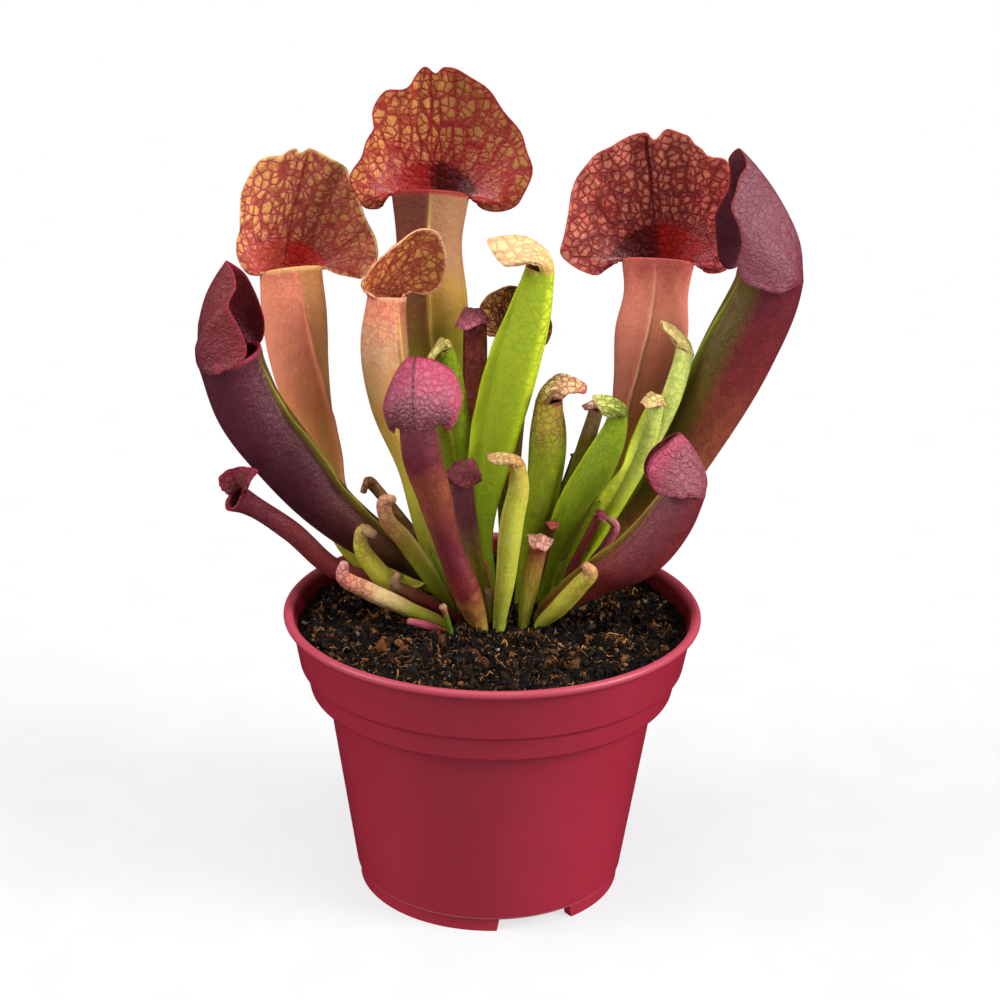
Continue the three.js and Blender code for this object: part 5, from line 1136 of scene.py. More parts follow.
def vein_net(g, across, distance, look):
    """Long rays up from the mouth, polygons between them, and a fine net inside the polygons."""
    count, length = look["net"]
    above = g.math("POWER", g.math("MAXIMUM", distance, 0.0) * (1 / length), 1.5)
    below = g.math("MINIMUM", distance, 0.0) * NET_BELOW
    wander = g.vector_math("SUBTRACT", g.noise(NET_BEND_SCALE, 2.0, color=True), (0.5, 0.5, 0.5))
    straight = g.combine(across * count, above + below)
    place = g.vector_math("ADD", straight, g.vector_math("MULTIPLY", wander, (0.5, 0.5, 0.0)))
    rays = g.cells(g.vector_math("MULTIPLY", place, RAY_STRETCH), FLAT_SCALE, space="2D")
    bent = g.vector_math("ADD", g.here(), g.vector_math("MULTIPLY", wander, (NET_BEND * MM,) * 3))
    flat = g.vector_math("MULTIPLY", bent, NET_STRETCH)
    return place, rays, g.cells(flat, look["mesh"]), g.cells(flat, look["mesh"] * FINE_NET)


def tube_color(g, along, across, warp, place, polygons, fine, look):
    """The run of colours up the tube, with mottling, streaks and the net near the mouth."""
    color = g.ramp(along + (warp - 0.5) * 0.16, look["tube"])
    patches = g.step(g.noise(340, 5.0, roughness=0.7), 0.42, 0.68)
    color = g.mix(patches * look["mottle_amount"], color, look["mottle"])
    for tint, low, high, begin, amount in look["flanks"]:
        side = g.step(across, low, high) * g.step(along, begin - 0.15, begin + 0.15)
        color = g.mix(side * amount, color, tint)
    streaks = g.cells(g.vector_math("MULTIPLY", place, STREAK_STRETCH), FLAT_SCALE, space="2D")
    streaks = g.step(streaks, 0.14, 0.02) * g.step(along, 0.2, 0.5, 0.3, 0.6)
    net = g.step(polygons, 0.13, 0.05) * look["tube_net"]
    net = net * g.step(along, look["net_from"], look["net_from"] + 0.25)
    lines = g.highest(streaks, g.step(fine, 0.1, 0.0) * 0.4)
    color = g.mix(lines * look["tube_vein_amount"], color, look["tube_vein"])
    return g.mix(net, color, look["tube_vein"]), streaks


def hood_color(g, along, across, inside, warp, rays, polygons, fine, look):
    """The hood's colours from the mouth to its margin, with light cells between dark veins, and painted
    light and shade on one side of the keel.
    """
    up = along - 1.0
    color = g.ramp(up + (warp - 0.5) * 0.3, look["hood"])
    if look["hood_back"]:
        color = g.mix((1.0 - inside) * 0.75, color, look["hood_back"])
    color = g.mix(g.step(rays, 0.38, 0.0) * look["halo_amount"], color, look["halo"])
    open_cells = g.step(polygons, 0.06, 0.3) * look["cell_light"]
    color = g.mix(open_cells * g.step(up, 0.05, 0.55, 0.15, 1.0), color, look["cell"])
    # Painted light and shade: one side of the hood, across the keel, tinted as light falls on its folded
    # halves.
    for tint, low, high, amount in look["side_shading"]:
        color = g.mix(g.step(across, low, high) * amount, color, tint)
    if look["lobe"]:
        tint, amount = look["lobe"]
        color = g.mix(g.step(g.absolute(across), 0.42, 0.54) * amount, color, tint)
    if look["bloom"]:
        tint, amount = look["bloom"]
        powder = g.step(g.noise(520, 5.0, roughness=0.7), 0.5, 0.7)
        color = g.mix(powder * amount, color, tint)
    ray_lines = g.step(rays, 0.18, 0.08) * g.step(up, 1.05, 0.5, 0.5, 1.0)
    polygon_lines = g.step(polygons, 0.1, 0.04, 0.0, 0.9)
    fine_lines = g.step(fine, 0.14, 0.03) * g.step(up, 0.85, 0.25, 0.25, 0.85)
    veins = g.highest(ray_lines, polygon_lines, fine_lines)
    color = g.mix(veins * look["vein_amount"], color, look["vein"])
    keel = g.step(g.absolute(across), 0.014, 0.004) * look["keel"]
    return g.mix(keel, color, look["vein"]), polygon_lines, keel


def throat_color(g, hood, across, inside, polygons, keel, mouth, mouth_radius, look):
    """The dark red patch over the mouth, with a ragged edge."""
    left_color, right_color, beyond = look["throat"]
    radius = mouth_radius + beyond
    offset = g.vector_math("SUBTRACT", g.here(), tuple(float(value) * MM for value in mouth))
    away = g.node("ShaderNodeVectorMath", {0: offset}, 1, operation="LENGTH") * (1 / MM)
    away = away + (g.noise(900, 3.0) - 0.5) * 2.4
    deep = g.mix(g.step(across, -0.05, 0.06), left_color, right_color)
    deep = g.mix(g.step(polygons, 0.2, 0.0) * 0.2, deep, "throat_dark")
    inside = inside * g.step(g.absolute(across), 0.42, 0.34)
    deep = g.mix(keel * 0.8, deep, "throat_dark")
    return g.mix(g.step(away, radius + 0.6, radius - 0.6) * inside, hood, deep)


def leaf_material(name, look, mouth, mouth_radius):
    """Living leaf: tube and hood with their nets, then the throat, the painted shade in the hollow, the lip
    and the fin.
    """
    g = Graph(name)
    along, across, inside = g.attribute("place")[:3]
    ridge, edge, distance = g.attribute("trim")[:3]
    warp = g.noise(260, 2.0)
    place, rays, polygons, fine = vein_net(g, across, distance, look)
    in_hood = g.step(along, 0.985, 1.02)
    tube, streaks = tube_color(g, along, across, warp, place, polygons, fine, look)
    hood, ridges, keel = hood_color(g, along, across, inside, warp, rays, polygons, fine, look)
    if look["throat"]:
        hood = throat_color(g, hood, across, inside, polygons, keel, mouth, mouth_radius, look)
    color = g.mix(in_hood, tube, hood)
    # Painted shade: the inside of the tube below the mouth mixed toward the hollow colour, mostly a darker
    # tone.
    color = g.mix(inside * g.step(along, 1.0, 0.985) * 0.9, color, look["hollow"])
    color = g.mix(g.step(edge, 0.35, 0.95) * look["edge_amount"], color, look["edge"])
    color = g.mix(ridge * look["ridge_amount"], color, look["ridge"])
    grain = g.noise(2600, 4.0, roughness=0.7)
    tone = grain * 0.28 + 0.86
    color = g.mix(1.0, color, g.combine(tone, tone, tone), "MULTIPLY")
    roughness = g.noise(700, 3.0) * 0.2 + (look["gloss"] - 0.08)
    puffed = g.step(polygons, 0.0, 0.4) * look["puff"]
    raised = puffed * in_hood - ridges * in_hood * 0.3 + streaks * 0.15
    relief = raised + grain * 0.3 + g.noise(900, 3.0) * 0.5 + warp * 0.8
    return g.finish(color, roughness, relief, bump=0.9, depth=0.0006, Specular_IOR_Level=look["shine"])


def solid_mesh(name, points, faces, kinds=None):
    """A smooth shaded piece from points in millimetres, with an optional value for each point."""
    mesh = bpy.data.meshes.new(name)
    mesh.from_pydata((np.asarray(points) * MM).tolist(), [], [list(face) for face in faces])
    if kinds is not None:
        attribute = mesh.attributes.new("kind", "FLOAT_VECTOR", "POINT")
        attribute.data.foreach_set("vector", np.asarray(kinds, np.float32).ravel())
    mesh.shade_smooth()
    return add_object(name, mesh)


def ring_faces(rows, sides, flip=False, ends=2):
    """Faces between closed rings of points, and from the end points after them to the outer rings."""
    index = np.arange(rows * sides).reshape(rows, sides)
    after = np.roll(index, -1, axis=1)
    faces = np.stack([index[:-1], after[:-1], after[1:], index[1:]], axis=-1).reshape(-1, 4).tolist()
    faces += [[rows * sides, b, a] for a, b in zip(index[0], after[0])]
    if ends == 2:
        faces += [[rows * sides + 1, a, b] for a, b in zip(index[-1], after[-1])]
    return [[face[0], *face[:0:-1]] for face in faces] if flip else faces


def dress(piece, material, slot, *nodes):
    """Gives a piece its material, the nodes that it replaces and its body; the slot is not used."""
    piece.data.materials.clear()
    piece.data.materials.append(material)
    if nodes:
        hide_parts(*nodes)
    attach(piece, BODY)


# Hairs

def hair_piece(name, roots, directions, lengths, width=0.028):
    """Thin upright tetrahedra, one for each hair."""
    count = len(roots)
    helper = unit(np.cross(directions, unit(random.normal(size=(count, 3)))))
    other = np.cross(directions, helper)
    sunk = roots - directions * 0.15
    points = np.empty((count, 4, 3))
    for k in range(3):
        turn = 2 * math.pi * k / 3
        points[:, k] = sunk + (helper * math.cos(turn) + other * math.sin(turn)) * width
    points[:, 3] = roots + directions * lengths[:, None]
    corners = np.array([[0, 2, 1], [0, 1, 3], [1, 2, 3], [2, 0, 3]])
    faces = (corners[None] + 4 * np.arange(count)[:, None, None]).reshape(-1, 3)
    kinds = np.repeat(random.random((count, 3)), 4, axis=0)
    return solid_mesh(name, inside_box(points.reshape(-1, 3)), faces, kinds)


def hood_hairs(name, info, count, inside, spread, height, length, lean=0.6):
    """Hairs on a hood: spread is the range of |across|, height the share of the way to its margin."""
    sheet = info["under"] if inside else info["sheet"]
    normals = -info["normals"] if inside else info["normals"]
    rows = len(sheet) - 1
    columns = len(sheet[0]) - 1
    side = random.uniform(spread[0], spread[1], count) * random.choice([-1, 1], count)
    level = random.uniform(height[0], height[1], count)
    i = np.clip((level * rows), 0, rows - 1e-6)
    j = np.clip((side + 1) / 2 * columns, 0, columns - 1e-6)
    i0, j0 = i.astype(int), j.astype(int)
    u, v = (i - i0)[:, None], (j - j0)[:, None]

    def sample(grid):
        low = grid[i0, j0] * (1 - v) + grid[i0, j0 + 1] * v
        high = grid[i0 + 1, j0] * (1 - v) + grid[i0 + 1, j0 + 1] * v
        return low * (1 - u) + high * u

    down = unit(sheet[i0, j0] - sheet[i0 + 1, j0])
    spread_out = 0.25 * random.normal(size=(count, 3))
    direction = unit(unit(sample(normals)) * (1 - lean) + down * lean + spread_out)
    lengths = length * random.uniform(0.5, 1.2, count)
    return hair_piece(name, sample(sheet), direction, lengths)


def hair_material():
    g = Graph("leaf_hair")
    tone = g.attribute("kind")[0]
    color = g.ramp(tone, ((0.0, "white_hair"), (0.6, "pale_pink"), (1.0, "white_hair")))
    grain = g.noise(900, 2.0)
    return g.finish(color, 0.6, grain, bump=0.1, depth=0.0001, Subsurface_Weight=0.2)


# Pot

def rounded(profile, radius=0.35, steps=3):
    """A profile with its corners rounded."""
    points = [np.array(point, float) for point in profile]
    result = [points[0]]
    for before, corner, after in zip(points, points[1:], points[2:]):
        back = before - corner
        ahead = after - corner
        reach = min(radius, np.linalg.norm(back) * 0.45, np.linalg.norm(ahead) * 0.45)
        start = corner + back / np.linalg.norm(back) * reach
        end = corner + ahead / np.linalg.norm(ahead) * reach
        for k in range(steps + 1):
            u = k / steps
            result.append((1 - u) ** 2 * start + 2 * u * (1 - u) * corner + u * u * end)
    result.append(points[-1])
    return np.array(result)


def lathe(profile, segments, name):
    """A closed turned mesh; the profile starts and ends on the axis."""
    angle = 2 * math.pi * np.arange(segments) / segments
    inner = profile[1:-1]
    rings = np.stack([
        inner[:, :1] * np.cos(angle),
        inner[:, :1] * np.sin(angle),
        np.broadcast_to(inner[:, 1:], (len(inner), segments)),
    ], axis=-1)
    points = np.vstack([rings.reshape(-1, 3), [[0, 0, profile[0][1]], [0, 0, profile[-1][1]]]])
    return solid_mesh(name, points, ring_faces(len(rings), segments))


def arc_block(start, end, inner, outer, bottom, top, name, steps=24, taper=0.6):
    """A curved block between two angles with slanted ends."""
    angle = np.linspace(start, end, steps + 1)
    lean = np.radians(np.linspace(taper, -taper, steps + 1))
    points = []
    for radius, height in ((outer, bottom), (outer, top), (inner, top), (inner, bottom)):
        turn = angle + (lean * 2 if height == bottom else 0)
        level = np.full(steps + 1, height)
        points.append(np.stack([radius * np.cos(turn), radius * np.sin(turn), level], axis=1))
    points = np.stack(points, axis=1).reshape(-1, 3)
    faces = []
    for k in range(steps):
        for m in range(4):
            a, b = 4 * k + m, 4 * k + (m + 1) % 4
            faces.append([a, a + 4, b + 4, b])
    faces.append([0, 1, 2, 3])
    faces.append([4 * steps + 3, 4 * steps + 2, 4 * steps + 1, 4 * steps])
    return solid_mesh(name, points, faces)


def apply_boolean(piece, tools, operation):
    """Cuts or joins the tools into the piece's mesh and removes them."""
    for tool in tools:
        modifier = piece.modifiers.new("cut", "BOOLEAN")
        modifier.operation = operation
        modifier.object = tool
        modifier.solver = "EXACT"
    bpy.context.view_layer.update()
    shape = piece.evaluated_get(bpy.context.evaluated_depsgraph_get())
    mesh = bpy.data.meshes.new_from_object(shape)
    piece.modifiers.clear()
    piece.data = mesh
    for tool in tools:
        bpy.data.objects.remove(tool)


def build_pot():
    outside = [
        [0, FOOT_HEIGHT],
        [BASE_RADIUS - 0.9, FOOT_HEIGHT],
        [BASE_RADIUS, FOOT_HEIGHT + 0.9],
        [47.6, BAND_FOOT_HEIGHT - 1.6],
        [BAND_FOOT_RADIUS - 0.8, BAND_FOOT_HEIGHT - 0.6],
        [BAND_FOOT_RADIUS, BAND_FOOT_HEIGHT + 0.3],
        [53.9, BAND_STEP_HEIGHT - 0.6],
        [BAND_STEP_RADIUS, BAND_STEP_HEIGHT + 0.2],
        [57.8, LIP_UNDERSIDE],
        [59.4, LIP_UNDERSIDE + 0.1],
        [RIM_RADIUS, LIP_UNDERSIDE + 0.8],
        [RIM_RADIUS, POT_HEIGHT - 0.9],
        [RIM_RADIUS - 0.5, POT_HEIGHT - 0.2],
        [RIM_RADIUS - 1.3, POT_HEIGHT],
    ]
    inside = [
        [RIM_RADIUS - 2.5, POT_HEIGHT - 0.6],
        [56.7, LIP_UNDERSIDE],
        *INNER_WALL,
        [0, FLOOR_TOP],
    ]
    pot = lathe(rounded(outside + inside, 0.8), POT_SEGMENTS, "pot_shell")
    length = math.radians(120 - FOOT_GAP_ANGLE)
    feet = []
    for i, gap in enumerate(FOOT_GAPS):
        start = math.radians(gap + FOOT_GAP_ANGLE / 2)
        top = FOOT_HEIGHT + 0.6
        feet.append(arc_block(start, start + length, FOOT_INNER, FOOT_OUTER, 0, top, f"foot_{i}"))
    apply_boolean(pot, feet, "UNION")
    drains = []
    top = FLOOR_TOP + 2
    hole = np.array([[0, 0], [DRAIN_RADIUS, 0], [DRAIN_RADIUS, top], [0, top]])
    for i in range(DRAIN_COUNT):
        angle = 2 * math.pi * i / DRAIN_COUNT
        drain = lathe(hole, 32, f"drain_{i}")
        centre = Vector((DRAIN_CIRCLE * math.cos(angle), DRAIN_CIRCLE * math.sin(angle), 0))
        drain.data.transform(Matrix.Translation(centre * MM))
        drains.append(drain)
    apply_boolean(pot, drains, "DIFFERENCE")
    pot.data.set_sharp_from_angle(angle=math.radians(38))
    return pot


def pot_material():
    g = Graph("pot_plastic")
    x, y, z = g.split(g.here())
    radius = g.math("SQRT", x * x + y * y)
    height = z * (1 / MM)
    cloud = g.noise(28, 4.0)
    color = g.ramp(cloud, ((0.25, "#8a1a2c"), (0.5, "#8c1c2f"), (0.8, "#921f33")))
    # Painted highlight: the top 2 mm of the rim mixed toward a light pink.
    rim = g.step(height, POT_HEIGHT - 2.6, POT_HEIGHT - 0.6)
    color = g.mix(rim * 0.35, color, "#c05c6c")
    # Painted shade: the pot's inner wall above 70 mm, below the rim, mixed toward a dark red.
    wall = (height - BAND_FOOT_HEIGHT) * 0.22 + 52.3
    is_inside = g.math("LESS_THAN", radius, (wall + 0.2) * MM)
    inner = is_inside * g.step(height, 70, 71)
    color = g.mix(inner * (1.0 - rim), color, "#6c141e")
    # Painted shade: dark lines at the two band steps and at the lip's underside.
    for level in (BAND_FOOT_HEIGHT - 0.4, BAND_STEP_HEIGHT - 0.3, LIP_UNDERSIDE + 0.2):
        step_shade = g.step(g.absolute(height - level), 0.55, 0.1)
        color = g.mix(step_shade * 0.55, color, "#5c0f1c")
    # Painted highlight: a thin light line round the body's rounded lower edge, 4.4 mm up.
    base_edge_highlight = 1.0 - g.step(g.absolute(height - 4.4), 0.08, 0.4)
    color = g.mix(base_edge_highlight * 0.35, color, "#d08c96")
    dust = g.step(g.noise(900, 5.0, roughness=0.75), 0.66, 0.78) * 0.18
    color = g.mix(dust, color, "#c08c8c")
    roughness = g.noise(140, 6.0, roughness=0.75) * 0.16 + 0.3
    ripple = g.noise(60, 2.0, vector=g.vector_math("MULTIPLY", g.here(), (1, 1, 0.25)))
    relief = g.noise(4200, 3.0, roughness=0.6) * 0.12 + ripple
    return g.finish(color, roughness, relief, bump=0.25, depth=0.0004, Specular_IOR_Level=0.3)


# Soil

def soil_height(x, y):
    """The shallow dish that the packed soil has."""
    ripples = np.sin(0.42 * x + 1.3) * np.cos(0.37 * y - 0.6)
    swells = 0.8 * np.sin(0.23 * x - 0.31 * y + 2)
    return SOIL_EDGE + SOIL_MOUND * (1 - (x * x + y * y) / 53 ** 2) + SOIL_RELIEF * (ripples + swells)


def clod_field(x, y, octaves=((0.45, 0.8), (1.0, 0.55), (2.1, 0.36), (4.4, 0.2))):
    """Rough relief of crumbs from a few crossed waves at turned angles."""
    total = np.zeros_like(x)
    for k, (rate, size) in enumerate(octaves):
        for m in range(3):
            turn = 0.7 + 2.1 * m + 1.3 * k
            u = x * math.cos(turn) + y * math.sin(turn)
            v = -x * math.sin(turn) + y * math.cos(turn)
            bend = 0.9 * np.sin(0.61 * rate * v + m)
            crossed = np.cos(0.83 * rate * v + 1.7 * k + bend)
            total += size * np.sin(rate * u + bend + 2.4 * m) * crossed / 1.4
    return total


def soil_surface(x, y):
    return soil_height(x, y) + clod_field(x, y)


def build_soil():
    """The filling of the pot: a rough dish above, the pot's inner wall round it, and its floor."""
    angle = 2 * math.pi * np.arange(SOIL_SPOKES) / SOIL_SPOKES
    radii = SOIL_RADIUS * (np.arange(1, SOIL_RINGS + 1) / SOIL_RINGS) ** 0.9
    x = radii[:, None] * np.cos(angle)
    y = radii[:, None] * np.sin(angle)
    jitter = random.normal(size=x.shape) * 0.14
    jitter[-1] = 0
    top = np.stack([x, y, soil_surface(x, y) + jitter], axis=-1)
    wall = [(r - SOIL_CLEARANCE, z + SOIL_CLEARANCE) for r, z in INNER_WALL]
    turn = np.stack([np.cos(angle), np.sin(angle), np.zeros(SOIL_SPOKES)], axis=-1)
    sides = [r * turn + np.array([0, 0, z]) for r, z in wall]
    rings = np.vstack([top, np.stack(sides)])
    middle = [[0, 0, soil_surface(np.zeros(1), np.zeros(1))[0]], [0, 0, FLOOR_TOP + SOIL_CLEARANCE]]
    points = np.vstack([rings.reshape(-1, 3), middle])
    return solid_mesh("soil_peat", points, ring_faces(len(rings), SOIL_SPOKES, flip=True))


def scatter_places(count, reach):
    """Random places on the soil inside a radius."""
    radius = reach * np.sqrt(random.random(count))
    turn = random.uniform(0, 2 * math.pi, count)
    return radius * np.cos(turn), radius * np.sin(turn)


def ball(level):
    """Corners and faces of a ball made of triangles."""
    form = bmesh.new()
    bmesh.ops.create_icosphere(form, subdivisions=level, radius=1)
    points = np.array([v.co[:] for v in form.verts])
    faces = np.array([[v.index for v in face.verts] for face in form.faces])
    form.free()
    return points, faces


def turned_axes(count):
    """Random right-handed frames."""
    a = unit(random.normal(size=(count, 3)))
    b = unit(np.cross(a, random.normal(size=(count, 3))))
    return np.stack([a, b, np.cross(a, b)], axis=1)


def build_lumps(name, count, sizes, squash, rough, level, sink):
    """Many rough grains resting in the soil's surface, as one piece."""
    base, faces = ball(level)
    x, y = scatter_places(count, SOIL_RADIUS - sizes[1] - 0.6)
    size = random.uniform(sizes[0], sizes[1], count) * random.uniform(0.5, 1, count)
    shape = base[None] * (1 + rough * random.normal(size=(count, len(base), 1)))
    width = size * random.uniform(0.5, 1, count)
    height = size * random.uniform(squash, 1, count)
    stretch = np.stack([size, width, height], axis=1)
    local = (shape * stretch[:, None]) @ turned_axes(count)
    z = soil_surface(x, y) + size * sink
    points = local + np.stack([x, y, z], axis=1)[:, None]
    faces = (faces[None] + len(base) * np.arange(count)[:, None, None]).reshape(-1, 3)
    kinds = np.repeat(random.random((count, 3)), len(base), axis=0)
    lumps = solid_mesh(name, points.reshape(-1, 3), faces, kinds)
    lumps.data.shade_flat()
    return lumps


def build_fibres(name, count, lengths, widths, curliness, steps=9, sides=4):
    """Curly strands lying on the soil, as tapered tubes."""
    x, y = scatter_places(count, SOIL_RADIUS - 3)
    heading = random.uniform(0, 2 * math.pi, count)
    length = random.uniform(lengths[0], lengths[1], count)
    curl = random.normal(size=count) * curliness
    wobble = random.normal(size=(count, steps)) * curliness
    turn = heading[:, None] + np.cumsum(curl[:, None] + wobble, axis=1)
    hop = length[:, None] / steps
    px = x[:, None] + np.cumsum(np.cos(turn), axis=1) * hop
    py = y[:, None] + np.cumsum(np.sin(turn), axis=1) * hop
    reach = np.sqrt(px ** 2 + py ** 2)
    limit = np.minimum(1, (SOIL_RADIUS - 0.8) / reach)
    px, py = px * limit, py * limit
    arch = random.uniform(0, 1.3, count)[:, None] * np.sin(math.pi * np.linspace(0, 1, steps)) ** 1.5
    pz = soil_surface(px, py) + 0.12 + arch
    path = np.stack([px, py, pz], axis=-1)
    along = unit(np.gradient(path, axis=1))
    side = unit(np.cross(along, [0, 0, 1]))
    up = np.cross(side, along)
    taper = np.sin(np.linspace(0.35, math.pi - 0.35, steps)) ** 0.6
    width = random.uniform(widths[0], widths[1], count)[:, None] * taper
    angle = 2 * math.pi * np.arange(sides) / sides
    ring = side[:, :, None] * np.cos(angle)[:, None] + up[:, :, None] * np.sin(angle)[:, None]
    tube = path[:, :, None] + ring * width[:, :, None, None]
    ends = np.stack([path[:, 0], path[:, -1]], axis=1)
    points = np.concatenate([tube.reshape(count, -1, 3), ends], axis=1)
    strand = ring_faces(steps, sides)
    quads = np.array([face for face in strand if len(face) == 4])
    caps = np.array([face for face in strand if len(face) == 3])
    step = points.shape[1] * np.arange(count)[:, None, None]
    faces = (quads[None] + step).reshape(-1, 4).tolist()
    faces += (caps[None] + step).reshape(-1, 3).tolist()
    kinds = np.repeat(random.random((count, 3)), points.shape[1], axis=0)
    return solid_mesh(name, points.reshape(-1, 3), faces, kinds)


def soil_material():
    g = Graph("peat")
    clods = g.noise(260, 6.0, roughness=0.75)
    crumbs = g.noise(1100, 5.0, roughness=0.8)
    color = g.ramp(clods, ((0.3, "#020101"), (0.48, "#070402"), (0.62, "#120a05"), (0.8, "#2c1c10")))
    color = g.mix(g.step(crumbs, 0.56, 0.7) * 0.35, color, "#4c301a")
    sand = g.node("ShaderNodeSeparateColor", {0: g.cells(g.here(), 900, "F1")})
    color = g.mix(g.step(sand, 0.955, 0.975) * 0.5, color, "#a48c6c")
    relief = clods + crumbs * 0.6
    roughness = crumbs * 0.3 + 0.7
    return g.finish(color, roughness, relief, bump=1.0, depth=0.0012, Specular_IOR_Level=0.12)


def bits_material(name, stops, scale, roughness, bump=0.6):
    """Small loose pieces: each takes a tone of its own from its kind, with grain over it."""
    g = Graph(name)
    tone = g.attribute("kind")[0]
    grain = g.noise(scale, 4.0, roughness=0.7)
    color = g.ramp(tone + (grain - 0.5) * 0.35, stops)
    rough = grain * 0.25 + (roughness - 0.1)
    return g.finish(color, rough, grain, bump=bump, depth=0.0003, Specular_IOR_Level=0.15)


def bark_material():
    g = Graph("rhizome_bark")
    stretched = g.vector_math("MULTIPLY", g.here(), (0.35, 1, 1))
    fibre = g.noise(900, 5.0, vector=stretched, roughness=0.7)
    color = g.ramp(fibre, ((0.3, "#3c2616"), (0.55, "#6c4a2c"), (0.8, "#96703f")))
    return g.finish(color, fibre * 0.2 + 0.65, fibre, bump=0.7, depth=0.0006)


# Studio

def add_sun(name, azimuth, elevation, power, spread):
    """Soft light from far away; azimuth 0 is over the camera, and grows to the right."""
    data = bpy.data.lights.new(name, "SUN")
    data.energy = power
    data.angle = math.radians(spread)
    light = bpy.data.objects.new(name, data)
    bpy.context.scene.collection.objects.link(light)
    turn = math.radians(azimuth)
    rise = math.radians(elevation)
    toward = Vector((math.sin(turn) * math.cos(rise), -math.cos(turn) * math.cos(rise), math.sin(rise)))
    light.rotation_euler = toward.to_track_quat("Z", "Y").to_euler()


def floor_material():
    g = Graph("floor_paper")
    fine = g.noise(40, 3.0)
    color = g.ramp(fine, ((0.3, "#6c6c6c"), (0.7, "#747474")))
    return g.finish(color, 0.95, fine, bump=0.02, depth=0.0001, Specular_IOR_Level=0.1,
                    Emission_Color=(1, 1, 1, 1), Emission_Strength=FLOOR_GLOW)


def build_world():
    """A sky that is palest at the horizon."""
    world = bpy.data.worlds.new("studio")
    world.use_nodes = True
    tree = world.node_tree
    place = tree.nodes.new("ShaderNodeTexCoord")
    split = tree.nodes.new("ShaderNodeSeparateXYZ")
    fade = tree.nodes.new("ShaderNodeMapRange")
    fade.interpolation_type = "SMOOTHSTEP"
    for k, value in enumerate((0.0, SKY_TOP_FROM, SKY_HORIZON, SKY), start=1):
        fade.inputs[k].default_value = value
    tree.links.new(place.outputs["Generated"], split.inputs[0])
    tree.links.new(split.outputs[2], fade.inputs[0])
    background = tree.nodes["Background"]
    background.inputs["Color"].default_value = (1, 1, 1, 1)
    tree.links.new(fade.outputs[0], background.inputs["Strength"])
    world.cycles_visibility.glossy = False
    bpy.context.scene.world = world


def build_studio():
    """A wide pale floor, soft suns and a pale sky."""
    radii = np.array([0.15, 0.3, 0.6, 1.2, 2.5, 5, FLOOR_RADIUS]) / MM
    angle = 2 * math.pi * np.arange(FLOOR_SIDES) / FLOOR_SIDES
    rings = radii[:, None, None] * np.stack([np.cos(angle), np.sin(angle), np.zeros(FLOOR_SIDES)], axis=-1)
    points = np.vstack([rings.reshape(-1, 3), [[0, 0, 0]]])
    floor = solid_mesh("floor", points, ring_faces(len(rings), FLOOR_SIDES, flip=True, ends=1))
    floor.data.materials.append(floor_material())
    floor.visible_glossy = False
    build_world()
    bpy.context.scene.view_settings.view_transform = "Standard"
    for name, azimuth, elevation, power, spread in SUNS:
        add_sun(name, azimuth, elevation, power, spread)


def build_camera():
    pitch = math.radians(CAMERA_PITCH)
    back = Vector((0, -math.cos(pitch), math.sin(pitch))) * CAMERA_DISTANCE
    place = Matrix.Translation((Vector(CAMERA_TARGET) + back) * MM)
    data = bpy.data.cameras.new("camera")
    data.lens = CAMERA_LENS
    data.sensor_width = 36
    data.clip_start = 0.01
    camera = bpy.data.objects.new("camera", data)
    tilt = Matrix.Rotation(math.pi / 2 - pitch, 4, "X")
    camera.matrix_world = place @ tilt @ Matrix.Rotation(CAMERA_ROLL, 4, "Z")
    bpy.context.scene.collection.objects.link(camera)
    bpy.context.scene.camera = camera


# Hairs by leaf: name, count, inside, range across, range up the hood, length in millimetres.
HAIRS = (
    ("leaf_hood_left", 900, True, (0.3, 0.75), (0.03, 0.4), 0.6),
    ("leaf_hood_centre", 1800, True, (0.35, 0.85), (0.03, 0.42), 0.65),
    ("leaf_hood_right", 1200, True, (0.4, 0.85), (0.03, 0.4), 0.6),
    ("leaf_maroon_left", 500, False, (0.0, 1.0), (0.05, 0.98), 0.3),
    ("leaf_maroon_right", 900, False, (0.0, 1.0), (0.3, 0.98), 0.35),
    ("leaf_purple_low_right", 500, False, (0.0, 1.0), (0.1, 0.98), 0.35),
    ("leaf_pink_front", 400, False, (0.0, 1.0), (0.1, 0.98), 0.3),
)


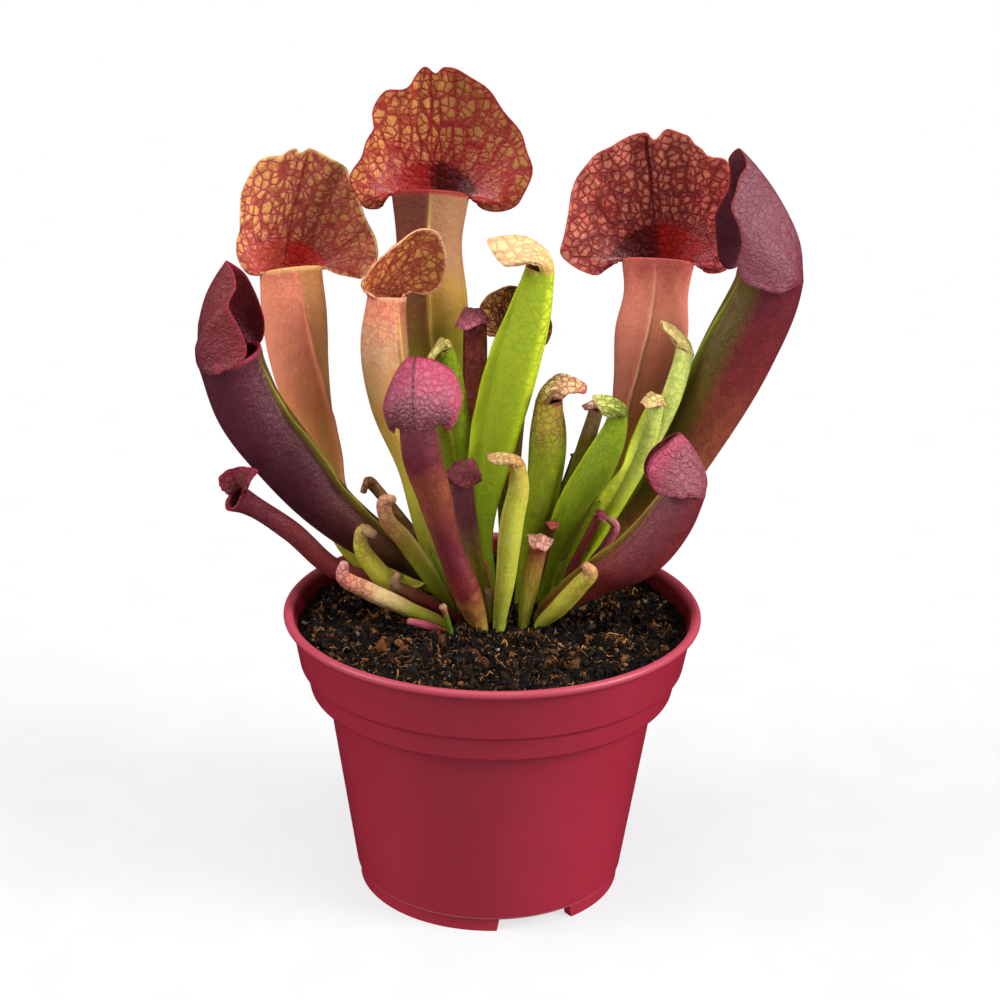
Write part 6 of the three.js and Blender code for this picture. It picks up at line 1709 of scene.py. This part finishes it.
def build_leaves():
    details = {}
    for name, shape in LEAVES.items():
        look = {**PLAIN_LOOK, **LOOKS.get(name, {})}
        if shape.get("bud"):
            piece, leaf = build_bud(name, shape)
            look["hood"] = ((0.0, look["tube"][-1][1]), (1.0, look["tube"][-1][1]))
        else:
            piece, details[name] = build_leaf(name, shape)
            leaf = details[name]["leaf"]
        mouth = leaf.frames(1.0)
        tissue = leaf_material(name + "_tissue", look, mouth[0][0], float(mouth[4][0]))
        dress(piece, tissue, look["slot"], name)
    material = hair_material()
    for name, count, inside, spread, height, length in HAIRS:
        hairs = hood_hairs(name + "_hairs", details[name], count, inside, spread, height, length)
        dress(hairs, material, {**PLAIN_LOOK, **LOOKS[name]}["slot"])


def build_filling():
    dress(build_soil(), soil_material(), "peat", "soil")
    dark = ((0.0, "#030201"), (0.5, "#0a0603"), (0.78, "#170d06"), (0.92, "#341e0e"), (1.0, "#744820"))
    crumbs = build_lumps("soil_crumbs", CRUMB_COUNT, (0.3, 1.5), 0.35, 0.24, 1, 0.15)
    dress(crumbs, bits_material("peat_crumbs", dark, 1500, 0.75), "peat")
    bark = ((0.0, "#040201"), (0.5, "#0f0804"), (0.85, "#2c1608"), (1.0, "#643814"))
    chips = build_lumps("soil_chips", CHIP_COUNT, (1.0, 2.6), 0.12, 0.2, 1, 0.1)
    dress(chips, bits_material("bark_chips", bark, 1200, 0.5), "peat")
    tan = ((0.0, "#0c0603"), (0.5, "#2c180a"), (0.8, "#805024"), (1.0, "#c89050"))
    fibres = build_fibres("soil_fibres", FIBRE_COUNT, (1.2, 4.5), (0.05, 0.14), 0.35)
    dress(fibres, bits_material("peat_fibres", tan, 2200, 0.55, 0.3), "peat")
    roots = build_fibres("soil_roots", ROOT_COUNT, (4, 12), (0.08, 0.18), 0.25, steps=14, sides=6)
    dress(roots, bits_material("peat_roots", tan, 1800, 0.5, 0.3), "peat")
    white = ((0.0, "#c8c0b0"), (1.0, "#ece8dc"))
    grains = build_lumps("soil_grains", GRAIN_COUNT, (0.2, 0.5), 0.6, 0.12, 1, 0.35)
    dress(grains, bits_material("white_grains", white, 1800, 0.6), "peat")


def main():
    build_camera()
    build_studio()
    dress(build_pot(), pot_material(), "pot_plastic", "pot")
    build_filling()
    build_leaves()
    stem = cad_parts["rhizome"]
    stem.data.materials.clear()
    stem.data.materials.append(bark_material())


main()
